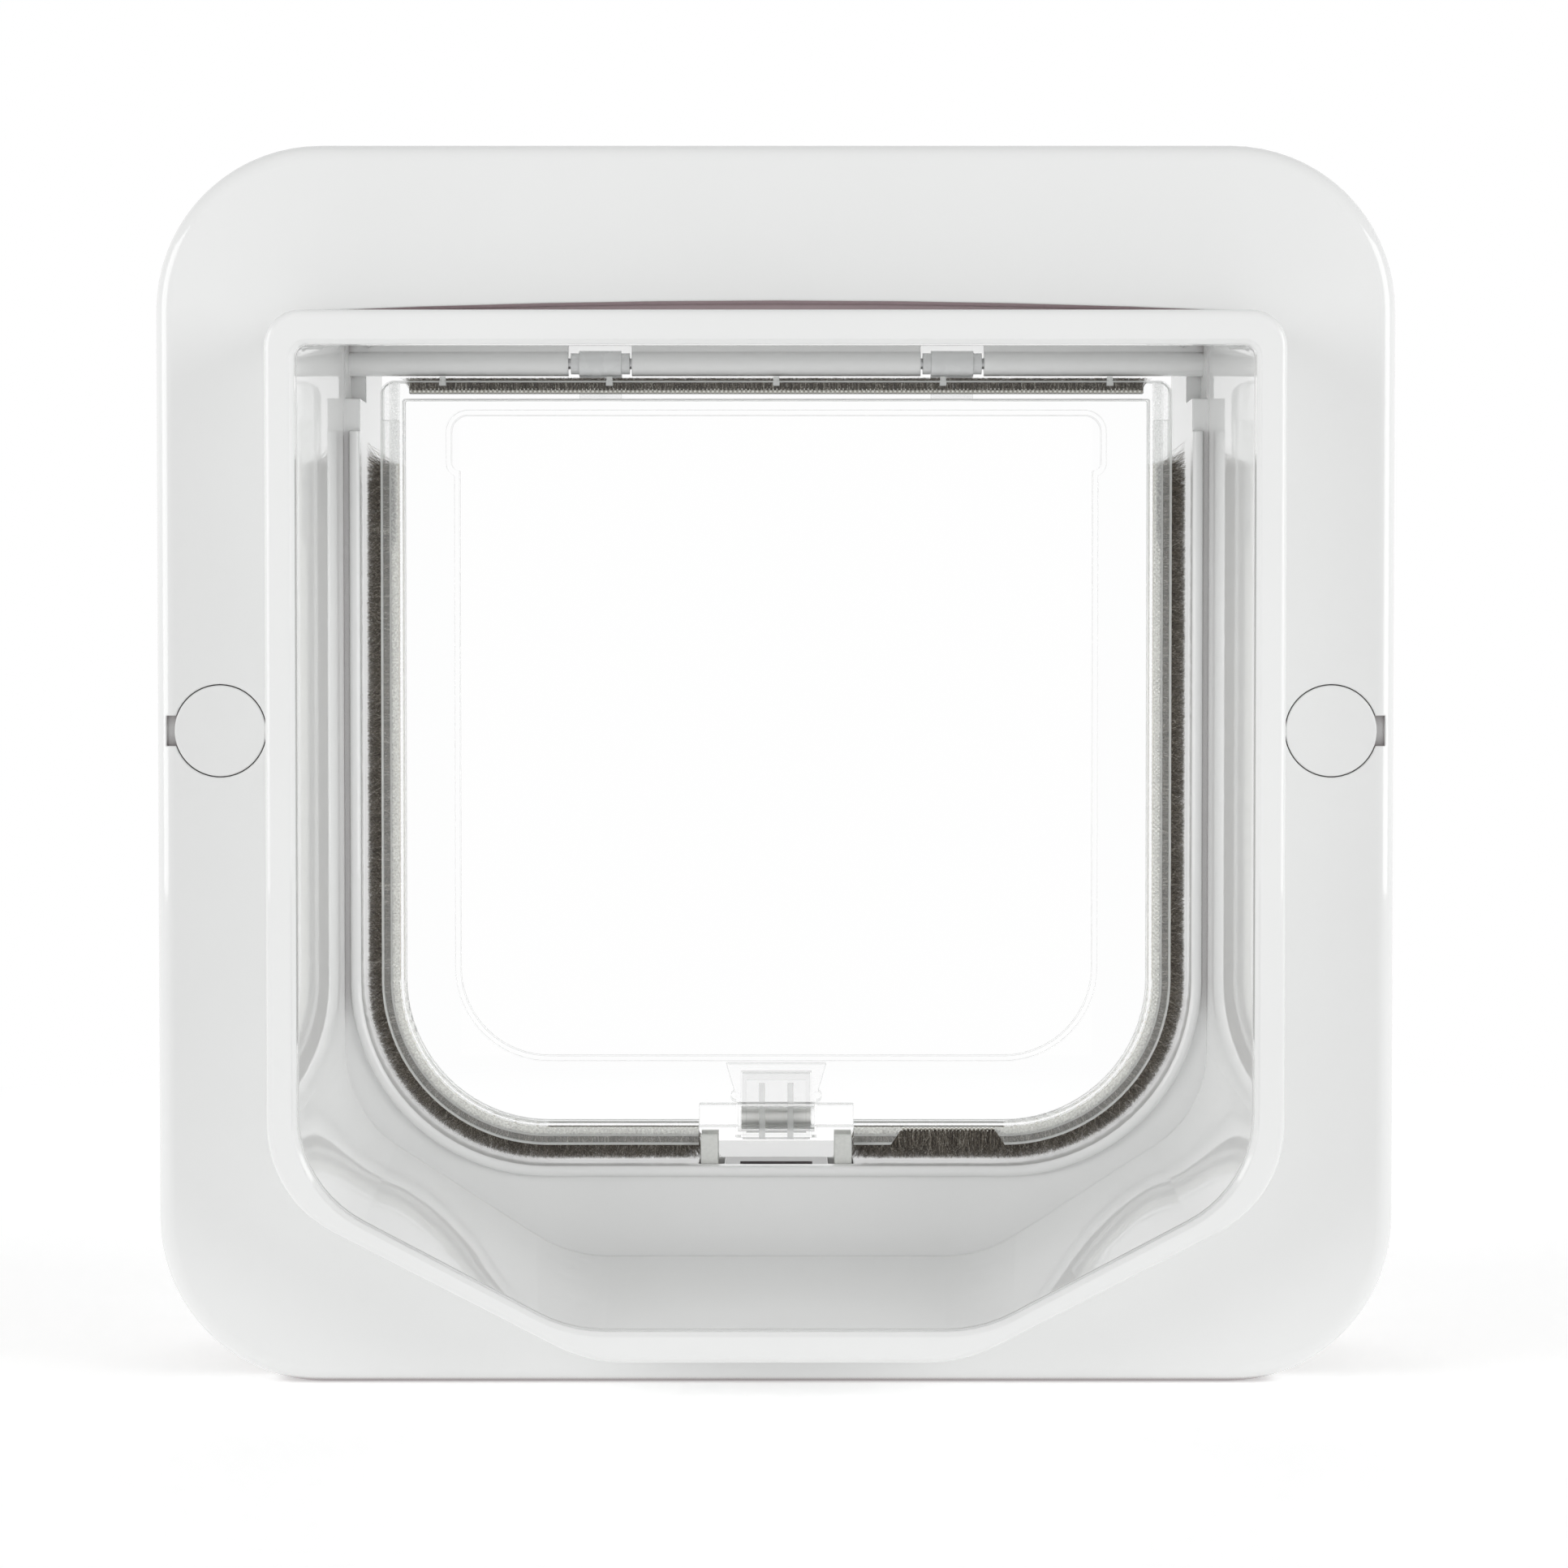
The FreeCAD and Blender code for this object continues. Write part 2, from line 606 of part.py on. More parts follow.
def make_inner_frame():
    """The indoor moulding: tapered tunnel, plate, passage, hinge bars and square frame."""
    skin = loft(MOUTH.grow(TUNNEL_WALL), TUNNEL_START, THROAT.grow(TUNNEL_WALL), PLATE_Y)
    plate = THROAT.grow(TUNNEL_WALL).prism(PLATE_Y, PLATE_Y + PLATE_THICKNESS)
    passage = OPENING.grow(PASSAGE_WALL).prism(PLATE_Y, PASSAGE_END)
    frame = square_frame(INNER_Y, INNER_FACE)
    ear_end = PLATE_Y + EAR_DEPTH
    ear = hinge_ear(OPENING_HALF + EAR_REACH, PLATE_Y, ear_end + EAR_WALL, EAR_WALL)
    nut_bosses = []
    for side in (-1, 1):
        nut_bosses.append(rod(NUT_BOSS_RADIUS, FRAME_THICKNESS - FRAME_WALL,
                              V(side * SCREW_X, INNER_Y, SCREW_Z), ALONG_Y))
    body = skin.fuse([plate, passage, frame, ear, mirrored(ear)] + nut_bosses)
    taper = loft(MOUTH, TUNNEL_START, THROAT, PLATE_Y)
    pocket = hinge_ear(OPENING_HALF + EAR_REACH, PLATE_Y - THROUGH, ear_end, 0)
    through = OPENING.prism(PLATE_Y - THROUGH, PASSAGE_END + THROUGH)
    body = body.cut([taper, through, pocket, mirrored(pocket)])
    body = body.fuse(hinge_bars() + [bead()])
    threads = []
    for side in (-1, 1):
        threads.append(rod(THREAD_RADIUS + THREAD_FIT, FRAME_THICKNESS - NUT_BOSS_END,
                           V(side * SCREW_X, INNER_Y, SCREW_Z), ALONG_Y))
    keeper_seat = box(-KEEPER_HALF, KEEPER_HALF, PLATE_Y + PLATE_THICKNESS, KEEPER_END,
                      SILL - KEEPER_THICKNESS, SILL + THROUGH)
    keeper_hole = box(-SLIDE_HALF - KEEPER_GAP, SLIDE_HALF + KEEPER_GAP, PLATE_Y + PLATE_THICKNESS,
                      SLIDE_BACK + KEEPER_GAP, SILL - PASSAGE_WALL - THROUGH, SILL)
    body = body.cut(pin_bores() + tab_slots() + threads + [keeper_seat, keeper_hole])
    return body.removeSplitter()


def make_cap():
    """One screw cap on the left: a disc with a hollow plug behind it."""
    start = V(-SCREW_X, -FRAME_THICKNESS, SCREW_Z)
    disc = rod(CAP_RADIUS, CAP_THICKNESS, start, ALONG_Y)
    plug_start = V(-SCREW_X, -FRAME_THICKNESS + CAP_THICKNESS, SCREW_Z)
    plug = rod(CAP_PLUG_RADIUS, CAP_PLUG_LENGTH, plug_start, ALONG_Y)
    hollow = rod(CAP_PLUG_RADIUS - CAP_PLUG_WALL, CAP_PLUG_LENGTH, plug_start, ALONG_Y)
    return disc.fuse(plug.cut(hollow)).removeSplitter()


def make_screw():
    """One long machine screw on the left, from its slotted head to the boss indoors."""
    head_y = -HEAD_SEAT - SCREW_HEAD_HEIGHT
    head = rod(SCREW_HEAD_RADIUS, SCREW_HEAD_HEIGHT, V(-SCREW_X, head_y, SCREW_Z), ALONG_Y)
    length = INNER_Y + FRAME_THICKNESS - NUT_BOSS_END - SCREW_END_GAP - head_y
    shoulder = rod(SCREW_SHOULDER_RADIUS, -head_y, V(-SCREW_X, head_y, SCREW_Z), ALONG_Y)
    shank = rod(SCREW_RADIUS, INNER_Y - head_y, V(-SCREW_X, head_y, SCREW_Z), ALONG_Y)
    thread = rod(THREAD_RADIUS, length, V(-SCREW_X, head_y, SCREW_Z), ALONG_Y)
    slot = box(-SCREW_X - SCREW_HEAD_RADIUS, -SCREW_X + SCREW_HEAD_RADIUS, head_y,
               head_y + DRIVE_SLOT_DEPTH, SCREW_Z - DRIVE_SLOT_WIDTH / 2,
               SCREW_Z + DRIVE_SLOT_WIDTH / 2)
    return head.fuse([shoulder, shank, thread]).cut(slot).removeSplitter()


def guide_block():
    """The tapering front of the guide, cut out for the manual lock and open in front of it."""
    points = [
        (-HOLDER_TOP_HALF, HOLDER_TOP),
        (HOLDER_TOP_HALF, HOLDER_TOP),
        (HOLDER_HALF, HOLDER_WAIST),
        (HOLDER_HALF, HOLDER_FOOT),
        (-HOLDER_HALF, HOLDER_FOOT),
        (-HOLDER_HALF, HOLDER_WAIST),
    ]
    corners = [V(x, HOLDER_FRONT, z) for x, z in points]
    outline = Part.makePolygon(corners + corners[:1])
    block = Part.Face(outline).extrude(V(0, PANEL_FRONT - HOLDER_FRONT, 0))
    detents = []
    for side in (-1, 1):
        start = V(side * HOLDER_HALF, HOLDER_FRONT - DETENT_HEIGHT, HOLDER_WAIST)
        detents.append(rod(DETENT_RADIUS, PANEL_FRONT - start.y, start, ALONG_Y))
    return block.fuse(detents)


def magnet_bore(z, y, fit):
    """The space of one magnet."""
    length = MAGNET_LENGTH + 2 * fit
    return rod(MAGNET_RADIUS + fit, length, V(-length / 2, y, z), ALONG_X)


def make_lock_guide():
    """The clear guide in the notch: bar, block for the manual lock and barrel for the magnet."""
    bar = box(-GUIDE_HALF, GUIDE_HALF, FLAP_FRONT, FLAP_BACK, FLAP_FOOT + GUIDE_LIFT, NOTCH_TOP)
    half = MAGNET_LENGTH / 2 + MAGNET_FIT + MAGNET_WALL
    radius = MAGNET_RADIUS + MAGNET_FIT + MAGNET_WALL
    barrel = rod(radius, 2 * half, V(-half, MAGNET_Y, MAGNET_Z), ALONG_X)
    slot = box(-SLIDE_HALF - SLIDE_GAP, SLIDE_HALF + SLIDE_GAP, SLIDE_FRONT - SLIDE_GAP,
               SLIDE_BACK + SLIDE_GAP, HOLDER_FOOT - THROUGH, SLIDE_TOP + SLIDE_GAP)
    window = box(-HOLDER_WINDOW_HALF, HOLDER_WINDOW_HALF, HOLDER_FRONT, SLIDE_FRONT,
                 HOLDER_FOOT - THROUGH, SLIDE_TOP - HOLDER_WINDOW_DROP)
    way_in = rod(MAGNET_RADIUS + MAGNET_FIT, half, V(0, MAGNET_Y, MAGNET_Z), ALONG_X)
    guide = guide_block().fuse([bar, barrel])
    return guide.cut([slot, window, magnet_bore(MAGNET_Z, MAGNET_Y, MAGNET_FIT), way_in]).removeSplitter()


def window_outline():
    """The outline of the clear middle of the flap, a little wider near its top."""
    half = FLAP_HALF - WINDOW_SIDE_INSET
    top = FLAP_TOP - WINDOW_TOP_INSET
    foot = FLAP_FOOT + WINDOW_FOOT_INSET
    window = opening_outline(half, top, foot, WINDOW_CORNER, WINDOW_TOP_ROUND)
    wide = opening_outline(half + WINDOW_STEP, top, top - WINDOW_STEP_DROP, WINDOW_STEP, WINDOW_TOP_ROUND)
    return window, wide


def window_rib():
    """The raised line round the clear middle of the flap, on both faces."""
    reach = FLAP_THICKNESS / 2 + WINDOW_RIB_HEIGHT
    y0 = HINGE_Y - reach
    y1 = HINGE_Y + reach
    outer = []
    inner = []
    for outline in window_outline():
        outer.append(outline.grow(WINDOW_RIB).prism(y0, y1))
        inner.append(outline.prism(y0, y1))
    return outer[0].fuse(outer[1]).cut(inner)


def lip_notch():
    """The sloping-sided gap in the front lip of the flap, through which the pile shows."""
    head = FLAP_FOOT + GROOVE_DEPTH
    corners = [
        V(LIP_NOTCH_X - LIP_NOTCH_FOOT, FLAP_FRONT, FLAP_FOOT - THROUGH),
        V(LIP_NOTCH_X + LIP_NOTCH_FOOT, FLAP_FRONT, FLAP_FOOT - THROUGH),
        V(LIP_NOTCH_X + LIP_NOTCH_HEAD, FLAP_FRONT, head),
        V(LIP_NOTCH_X - LIP_NOTCH_HEAD, FLAP_FRONT, head),
    ]
    face = Part.Face(Part.makePolygon(corners + corners[:1]))
    return face.extrude(V(0, GROOVE_FRONT - FLAP_FRONT, 0))


def flap_groove():
    """The groove all round the flap's edge, closed at the two top corners."""
    groove = FLAP.grow(THROUGH).prism(GROOVE_FRONT, GROOVE_BACK)
    core = flap_outline(GROOVE_DEPTH, TOP_GROOVE_DEPTH).prism(GROOVE_FRONT, GROOVE_BACK)
    shoulder = box(-FLAP_HALF - THROUGH, -TOP_PILE_HALF - PILE_FIT, GROOVE_FRONT, GROOVE_BACK,
                   FLAP_TOP - SHOULDER_HEIGHT, FLAP_TOP + THROUGH)
    return groove.cut([core, shoulder, mirrored(shoulder)])


def knuckle_foot(side):
    """The foot of one knuckle, which fits a pocket in the back of the flap's edge."""
    x = side * KNUCKLE_X
    return box(x - KNUCKLE_LENGTH / 2, x + KNUCKLE_LENGTH / 2, GROOVE_BACK, FLAP_BACK,
               FLAP_TOP - EDGE_TOP_WIDTH, HINGE_Z)


def make_flap():
    """The clear flap: panel, grooved edge, pegs and the rib round its clear middle."""
    web_middle = (EDGE_WIDTH + GROOVE_DEPTH) / 2
    top_middle = (EDGE_TOP_WIDTH + TOP_GROOVE_DEPTH) / 2
    panel = flap_outline(web_middle, top_middle).prism(PANEL_FRONT, PANEL_BACK)
    edge = FLAP.prism(FLAP_FRONT, FLAP_BACK)
    edge = edge.cut(flap_outline(EDGE_WIDTH, EDGE_TOP_WIDTH).prism(FLAP_FRONT, FLAP_BACK))
    lips = front_edges(edge, FLAP_FRONT) + front_edges(edge, FLAP_BACK)
    edge = edge.makeFillet(EDGE_ROUND, lips).cut([flap_groove(), lip_notch()])
    sheet = panel.fuse([edge, window_rib()])
    pegs = []
    pitch = 2 * (FLAP_HALF - PEG_END_INSET) / (PEG_COUNT - 1)
    for i in range(PEG_COUNT):
        x = (i - (PEG_COUNT - 1) / 2) * pitch
        foot = V(x, FLAP_FRONT + PEG_RADIUS, TOP_PILE_TIP - PEG_LENGTH)
        pegs.append(rod(PEG_RADIUS, PEG_LENGTH, foot, ALONG_Z))
    notch = box(-NOTCH_HALF, NOTCH_HALF, FLAP_FRONT, FLAP_BACK, FLAP_FOOT - THROUGH, NOTCH_TOP)
    return sheet.fuse(pegs).cut([notch, knuckle_foot(-1), knuckle_foot(1)]).removeSplitter()


def make_knuckle(side):
    """One milky knuckle: a barrel with two thinner necks on the hinge pin, and its foot."""
    half = knuckle_half()
    x = side * KNUCKLE_X
    neck = rod(KNUCKLE_NECK_RADIUS, 2 * half, V(x - half, HINGE_Y, HINGE_Z), ALONG_X)
    start = V(x - KNUCKLE_LENGTH / 2, HINGE_Y, HINGE_Z)
    barrel = rod(KNUCKLE_RADIUS, KNUCKLE_LENGTH, start, ALONG_X)
    bore = rod(PIN_RADIUS + PIN_FIT, 2 * half, V(x - half, HINGE_Y, HINGE_Z), ALONG_X)
    return barrel.fuse([neck, knuckle_foot(side)]).cut(bore).removeSplitter()


def make_edge_seal():
    """The pile strip that runs down one side of the flap, along its foot and up the other."""
    outer = FLAP.grow(FLAP_TO_OPENING - PILE_TO_WALL)
    y0 = GROOVE_FRONT + PILE_FIT
    y1 = GROOVE_BACK - PILE_FIT
    ring = outer.prism(y0, y1).cut(flap_outline(GROOVE_DEPTH, TOP_GROOVE_DEPTH).prism(y0, y1))
    above = box(-OPENING_HALF, OPENING_HALF, y0, y1, SIDE_PILE_TOP, OPENING_TOP)
    middle = box(-NOTCH_HALF, NOTCH_HALF, y0, y1, SILL, NOTCH_TOP)
    return ring.cut([above, middle])


def make_top_seal():
    """The pile strip along the top of the flap, below the hinge bars."""
    return box(-TOP_PILE_HALF, TOP_PILE_HALF, GROOVE_FRONT + PILE_FIT, GROOVE_BACK - PILE_FIT,
               FLAP_TOP - TOP_GROOVE_DEPTH, TOP_PILE_TIP)


def make_lock_slide():
    """The manual lock: a clear slide with two finger ribs and three windows at its foot."""
    body = box(-SLIDE_HALF, SLIDE_HALF, SLIDE_FRONT, SLIDE_BACK, SLIDE_FOOT, SLIDE_TOP)
    sill = SLIDE_FOOT + SLIDE_BASE
    near = GRIP_X - GRIP_WIDTH / 2
    far = GRIP_X + GRIP_WIDTH / 2
    windows = []
    for x0, x1 in ((-SLIDE_HALF + SLIDE_FRAME, -far), (-near, near), (far, SLIDE_HALF - SLIDE_FRAME)):
        windows.append(box(x0, x1, SLIDE_FRONT, SLIDE_BACK - SLIDE_SKIN, sill, sill + SLIDE_WINDOW_HEIGHT))
    body = body.cut(windows)
    ribs = []
    for side in (-1, 1):
        x = side * GRIP_X
        top = SLIDE_TOP - GRIP_DROP
        ribs.append(box(x - GRIP_WIDTH / 2, x + GRIP_WIDTH / 2, SLIDE_FRONT - GRIP_HEIGHT,
                        SLIDE_FRONT, top - GRIP_LENGTH, top))
    return body.fuse(ribs).removeSplitter()


def make_keeper_plate():
    """The clear plate let into the sill, with the notch that the manual lock drops into."""
    plate = box(-KEEPER_HALF, KEEPER_HALF, PLATE_Y + PLATE_THICKNESS, KEEPER_END,
                SILL - KEEPER_THICKNESS, SILL)
    notch = box(-SLIDE_HALF - KEEPER_GAP, SLIDE_HALF + KEEPER_GAP, PLATE_Y + PLATE_THICKNESS,
                SLIDE_BACK + KEEPER_GAP, SILL - KEEPER_THICKNESS, SILL)
    return plate.cut(notch)


def make_lock_tab():
    """The left lock tab: a fork that straddles the flap, on a round stem."""
    x0 = -TAB_X - TAB_WIDTH / 2
    x1 = -TAB_X + TAB_WIDTH / 2
    fork = box(x0, x1, TAB_FRONT, TAB_BACK, TAB_FOOT, TAB_TOP)
    gap = box(x0, x1, TAB_FRONT + TAB_PRONG, TAB_BACK - TAB_PRONG, TAB_FOOT + TAB_BASE, TAB_TOP)
    middle = V(-TAB_X, (TAB_FRONT + TAB_BACK) / 2, STEM_END)
    stem = rod(STEM_RADIUS, STEM_LENGTH, middle, ALONG_Z)
    return fork.cut(gap).fuse(stem).removeSplitter()


def make_actuator():
    """The left lock actuator: a block round a coil, bored for the stem of the tab."""
    y0 = PLATE_Y + PLATE_THICKNESS + CASE_WALL + ACTUATOR_GAP
    y1 = CASE_BACK - CASE_WALL - ACTUATOR_GAP
    z0 = CASE_BOTTOM + CASE_WALL
    half = ACTUATOR_WIDTH / 2
    yoke = box(-TAB_X - half, -TAB_X + half, y0, y1, z0, z0 + ACTUATOR_HEIGHT)
    waist = box(-TAB_X - half, -TAB_X + half, y0, y1, z0 + ACTUATOR_YOKE,
                z0 + ACTUATOR_HEIGHT - ACTUATOR_YOKE)
    middle = V(-TAB_X, (TAB_FRONT + TAB_BACK) / 2, z0)
    coil = rod(ACTUATOR_COIL_RADIUS, ACTUATOR_HEIGHT, middle, ALONG_Z)
    bore = rod(STEM_RADIUS + STEM_FIT, ACTUATOR_HEIGHT,
               V(-TAB_X, (TAB_FRONT + TAB_BACK) / 2, z0 + ACTUATOR_FLOOR), ALONG_Z)
    return yoke.cut(waist).fuse(coil).cut(bore).removeSplitter()


def make_lock_case():
    """The open tray behind the plate, below the sill, that holds both actuators."""
    y0 = PLATE_Y + PLATE_THICKNESS
    tray = box(-CASE_HALF, CASE_HALF, y0, CASE_BACK, CASE_BOTTOM, CASE_TOP)
    hollow = box(-CASE_HALF + CASE_WALL, CASE_HALF - CASE_WALL, y0 + CASE_WALL,
                 CASE_BACK - CASE_WALL, CASE_BOTTOM + CASE_WALL, CASE_TOP)
    return tray.cut(hollow)


def make_sill_magnet():
    """The magnet below the sill that draws the flap back to the middle."""
    return magnet_bore(SILL - PASSAGE_WALL - MAGNET_RADIUS, MAGNET_Y, 0)


def make_coil():
    """The reader coil: a flat band of wire round the tunnel, inside the door."""
    section = tunnel_section(COIL_Y).grow(TUNNEL_WALL + COIL_FIT)
    outer = section.grow(COIL_THICKNESS).prism(COIL_Y, COIL_Y + COIL_WIDTH)
    clear_of_tunnel = TUNNEL_WALL + COIL_FIT
    return outer.cut(loft(MOUTH.grow(clear_of_tunnel), TUNNEL_START, THROAT.grow(clear_of_tunnel), PLATE_Y))


def make_housing():
    """The hollow control housing, with two battery doorways, a button hole and a light hole."""
    outer = box(-HOUSING_HALF, HOUSING_HALF, INNER_FACE, HOUSING_FACE, HOUSING_BOTTOM, HOUSING_TOP)
    rounded = [edge for edge in outer.Edges if edge.BoundBox.YMax > INNER_FACE + HOUSING_ROUND]
    outer = outer.makeFillet(HOUSING_ROUND, rounded)
    hollow = box(-HOUSING_HALF + HOUSING_WALL, HOUSING_HALF - HOUSING_WALL, INNER_FACE,
                 HOUSING_FACE - HOUSING_WALL, HOUSING_BOTTOM + HOUSING_WALL, HOUSING_TOP - HOUSING_WALL)
    cuts = [hollow]
    for side in (-1, 1):
        cuts.append(cover_block(side, COVER_GAP, HOUSING_WALL))
    cuts.append(rod(BUTTON_RADIUS + BUTTON_FIT, HOUSING_WALL,
                    V(BUTTON_X, HOUSING_FACE - HOUSING_WALL, HOUSING_MID), ALONG_Y))
    cuts.append(rod(LIGHT_RADIUS, HOUSING_WALL,
                    V(LIGHT_X, HOUSING_FACE - HOUSING_WALL, HOUSING_MID), ALONG_Y))
    return outer.cut(cuts)


def cover_block(side, gap, depth):
    """The block that a battery cover fills, grown by a gap."""
    x = side * COVER_X
    return box(x - COVER_HALF - gap, x + COVER_HALF + gap, HOUSING_FACE - depth, HOUSING_FACE,
               HOUSING_MID - COVER_HEIGHT / 2 - gap, HOUSING_MID + COVER_HEIGHT / 2 + gap)


def make_battery_cover(side):
    """One battery cover, flush with the housing, with a lip behind its doorway."""
    x = side * COVER_X
    plate = cover_block(side, 0, HOUSING_WALL)
    grips = []
    for i in range(COVER_GRIP_COUNT):
        z = HOUSING_MID + (i - (COVER_GRIP_COUNT - 1) / 2) * COVER_GRIP_PITCH
        grips.append(box(x - COVER_GRIP_HALF, x + COVER_GRIP_HALF, HOUSING_FACE - COVER_GRIP_DEPTH,
                         HOUSING_FACE, z - COVER_GRIP_WIDTH / 2, z + COVER_GRIP_WIDTH / 2))
    back = HOUSING_FACE - HOUSING_WALL
    lip_z = HOUSING_MID - COVER_HEIGHT / 2
    lip = box(x - COVER_HALF + COVER_LIP_INSET, x + COVER_HALF - COVER_LIP_INSET, back - COVER_LIP, back,
              lip_z - COVER_LIP_HALF_HEIGHT, lip_z + COVER_LIP_HALF_HEIGHT)
    top_lip = lip.translated(V(0, 0, COVER_HEIGHT))
    return plate.cut(grips).fuse([lip, top_lip]).removeSplitter()


def make_cell(side, row):
    """One round battery cell lying along X, with its contact nipple."""
    y = INNER_FACE + CELL_RADIUS + CELL_GAP + row * (2 * CELL_RADIUS + CELL_GAP)
    x0 = side * COVER_X - (CELL_LENGTH + NIPPLE_LENGTH) / 2
    z = HOUSING_BOTTOM + HOUSING_WALL + CELL_RADIUS + CELL_FLOOR_GAP
    can = rod(CELL_RADIUS, CELL_LENGTH, V(x0, y, z), ALONG_X)
    nipple = rod(NIPPLE_RADIUS, NIPPLE_LENGTH, V(x0 + CELL_LENGTH, y, z), ALONG_X)
    return can.fuse(nipple).removeSplitter()


def make_board():
    """The circuit board across the middle of the housing, with the switch under the button."""
    z0 = HOUSING_MID - BOARD_HEIGHT / 2
    board = box(-BOARD_HALF, BOARD_HALF, BOARD_Y, BOARD_Y + BOARD_THICKNESS, z0, z0 + BOARD_HEIGHT)
    face = BOARD_Y + BOARD_THICKNESS
    switch = box(BUTTON_X - SWITCH_HALF, BUTTON_X + SWITCH_HALF, face, face + SWITCH_HEIGHT,
                 HOUSING_MID - SWITCH_HALF, HOUSING_MID + SWITCH_HALF)
    posts = []
    for x in (-BOARD_HALF + POST_INSET, BOARD_HALF - POST_INSET):
        posts.append(rod(POST_RADIUS, BOARD_Y - INNER_FACE, V(x, INNER_FACE, HOUSING_MID), ALONG_Y))
    chip = box(CHIP_X - CHIP_HALF, CHIP_X + CHIP_HALF, BOARD_Y - CHIP_THICKNESS, BOARD_Y,
               HOUSING_MID - CHIP_HALF, HOUSING_MID + CHIP_HALF)
    return board.fuse([switch, chip] + posts).removeSplitter()


def make_button():
    """The learn button: a round key with a retaining flange and a stem to its switch."""
    top = HOUSING_FACE + BUTTON_PROUD
    inside = HOUSING_FACE - HOUSING_WALL
    flange_y = inside - BUTTON_FLANGE
    key = rod(BUTTON_RADIUS, top - flange_y, V(BUTTON_X, flange_y, HOUSING_MID), ALONG_Y)
    flange = rod(BUTTON_FLANGE_RADIUS, BUTTON_FLANGE, V(BUTTON_X, flange_y, HOUSING_MID), ALONG_Y)
    stem_y = BOARD_Y + BOARD_THICKNESS + SWITCH_HEIGHT + BUTTON_TRAVEL + BUTTON_STEM_GAP
    stem = rod(BUTTON_STEM_RADIUS, flange_y - stem_y, V(BUTTON_X, stem_y, HOUSING_MID), ALONG_Y)
    return key.fuse([flange, stem]).removeSplitter()


def make_light():
    """The status light: a light pipe from the board to the face of the housing."""
    start = V(LIGHT_X, BOARD_Y + BOARD_THICKNESS, HOUSING_MID)
    return rod(LIGHT_RADIUS, HOUSING_FACE + LIGHT_PROUD - start.y, start, ALONG_Y)


save(make_outer_frame(), "outer_frame")
save(make_inner_frame(), "inner_frame")
cap = make_cap()
save(cap, "screw_cap_left")
save(mirrored(cap), "screw_cap_right")
screw = make_screw()
save(screw, "fixing_screw_left")
save(mirrored(screw), "fixing_screw_right")
save(make_flap(), "flap")
save(make_edge_seal(), "edge_seal")
save(make_top_seal(), "top_seal")
for name, side in (("left", -1), ("right", 1)):
    start = V(side * KNUCKLE_X - PIN_LENGTH / 2, HINGE_Y, HINGE_Z)
    save(make_knuckle(side), "hinge_knuckle_" + name)
    save(rod(PIN_RADIUS, PIN_LENGTH, start, ALONG_X), "hinge_pin_" + name)
    save(make_battery_cover(side), "battery_cover_" + name)
    save(make_cell(side, 0), "battery_cell_" + name + "_front")
    save(make_cell(side, 1), "battery_cell_" + name + "_rear")
save(make_lock_guide(), "lock_guide")
save(magnet_bore(MAGNET_Z, MAGNET_Y, 0), "flap_magnet")
save(make_sill_magnet(), "sill_magnet")
save(make_lock_slide(), "manual_lock_slide")
save(make_keeper_plate(), "keeper_plate")
tab = make_lock_tab()
save(tab, "lock_tab_left")
save(mirrored(tab), "lock_tab_right")
actuator = make_actuator()
save(actuator, "lock_actuator_left")
save(mirrored(actuator), "lock_actuator_right")
save(make_lock_case(), "lock_case")
save(make_coil(), "reader_coil")
save(make_housing(), "control_housing")
save(make_board(), "circuit_board")
save(make_button(), "learn_button")
save(make_light(), "status_light")
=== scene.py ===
import json
import math
import random

import bpy
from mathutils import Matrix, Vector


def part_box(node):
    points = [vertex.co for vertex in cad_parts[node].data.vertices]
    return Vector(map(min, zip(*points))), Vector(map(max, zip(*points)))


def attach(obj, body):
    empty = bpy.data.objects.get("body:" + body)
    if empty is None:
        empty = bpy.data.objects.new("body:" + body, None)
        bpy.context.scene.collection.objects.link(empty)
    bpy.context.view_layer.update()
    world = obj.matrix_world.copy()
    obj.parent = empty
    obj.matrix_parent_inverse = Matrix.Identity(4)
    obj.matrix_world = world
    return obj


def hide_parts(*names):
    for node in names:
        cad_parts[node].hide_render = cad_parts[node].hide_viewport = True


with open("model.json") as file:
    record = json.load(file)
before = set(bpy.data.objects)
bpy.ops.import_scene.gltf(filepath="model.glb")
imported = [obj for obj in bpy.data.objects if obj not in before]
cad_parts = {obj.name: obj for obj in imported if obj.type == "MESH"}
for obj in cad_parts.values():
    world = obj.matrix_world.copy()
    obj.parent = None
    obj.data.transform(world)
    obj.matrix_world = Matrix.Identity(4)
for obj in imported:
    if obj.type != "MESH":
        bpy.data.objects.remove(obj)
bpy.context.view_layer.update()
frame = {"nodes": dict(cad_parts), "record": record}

# Sizes are in metres, in the frame of the part: -Y is outdoors, towards the camera
MM = 0.001
FRAME_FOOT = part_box("outer_frame")[0][2]

# A distance longer than the part, for limits that leave nothing out
PAST_THE_PART = 1.0

# Camera: a long lens straight in front, a little above the middle
CAMERA_PLACE = (0.0014, -0.62, 0.013)
CAMERA_DIP = math.radians(1.5)
CAMERA_LENS = 82.9
CAMERA_SENSOR = 36.0
CAMERA_CLIP = 0.01

# Lamps that point at the part: name, place, width in metres and power in watts
LAMPS = (
    ("top", (0.0, -0.5, 1.3), 1.2, 1.0),
    ("left", (-1.3, -0.7, 0.3), 0.9, 8.8),
    ("right", (1.3, -0.7, 0.3), 0.9, 9.3),
    ("indoors", (0.0, 1.1, 0.2), 1.0, 5.5),
)

# How strongly the surroundings shine: as light first, then as they are seen
WORLD_STRENGTH = (0.42, 1.0)
NEAR_FLOOR_STRENGTH = (0.3, 0.42)
FAR_FLOOR_STRENGTH = (0.85, 1.0)

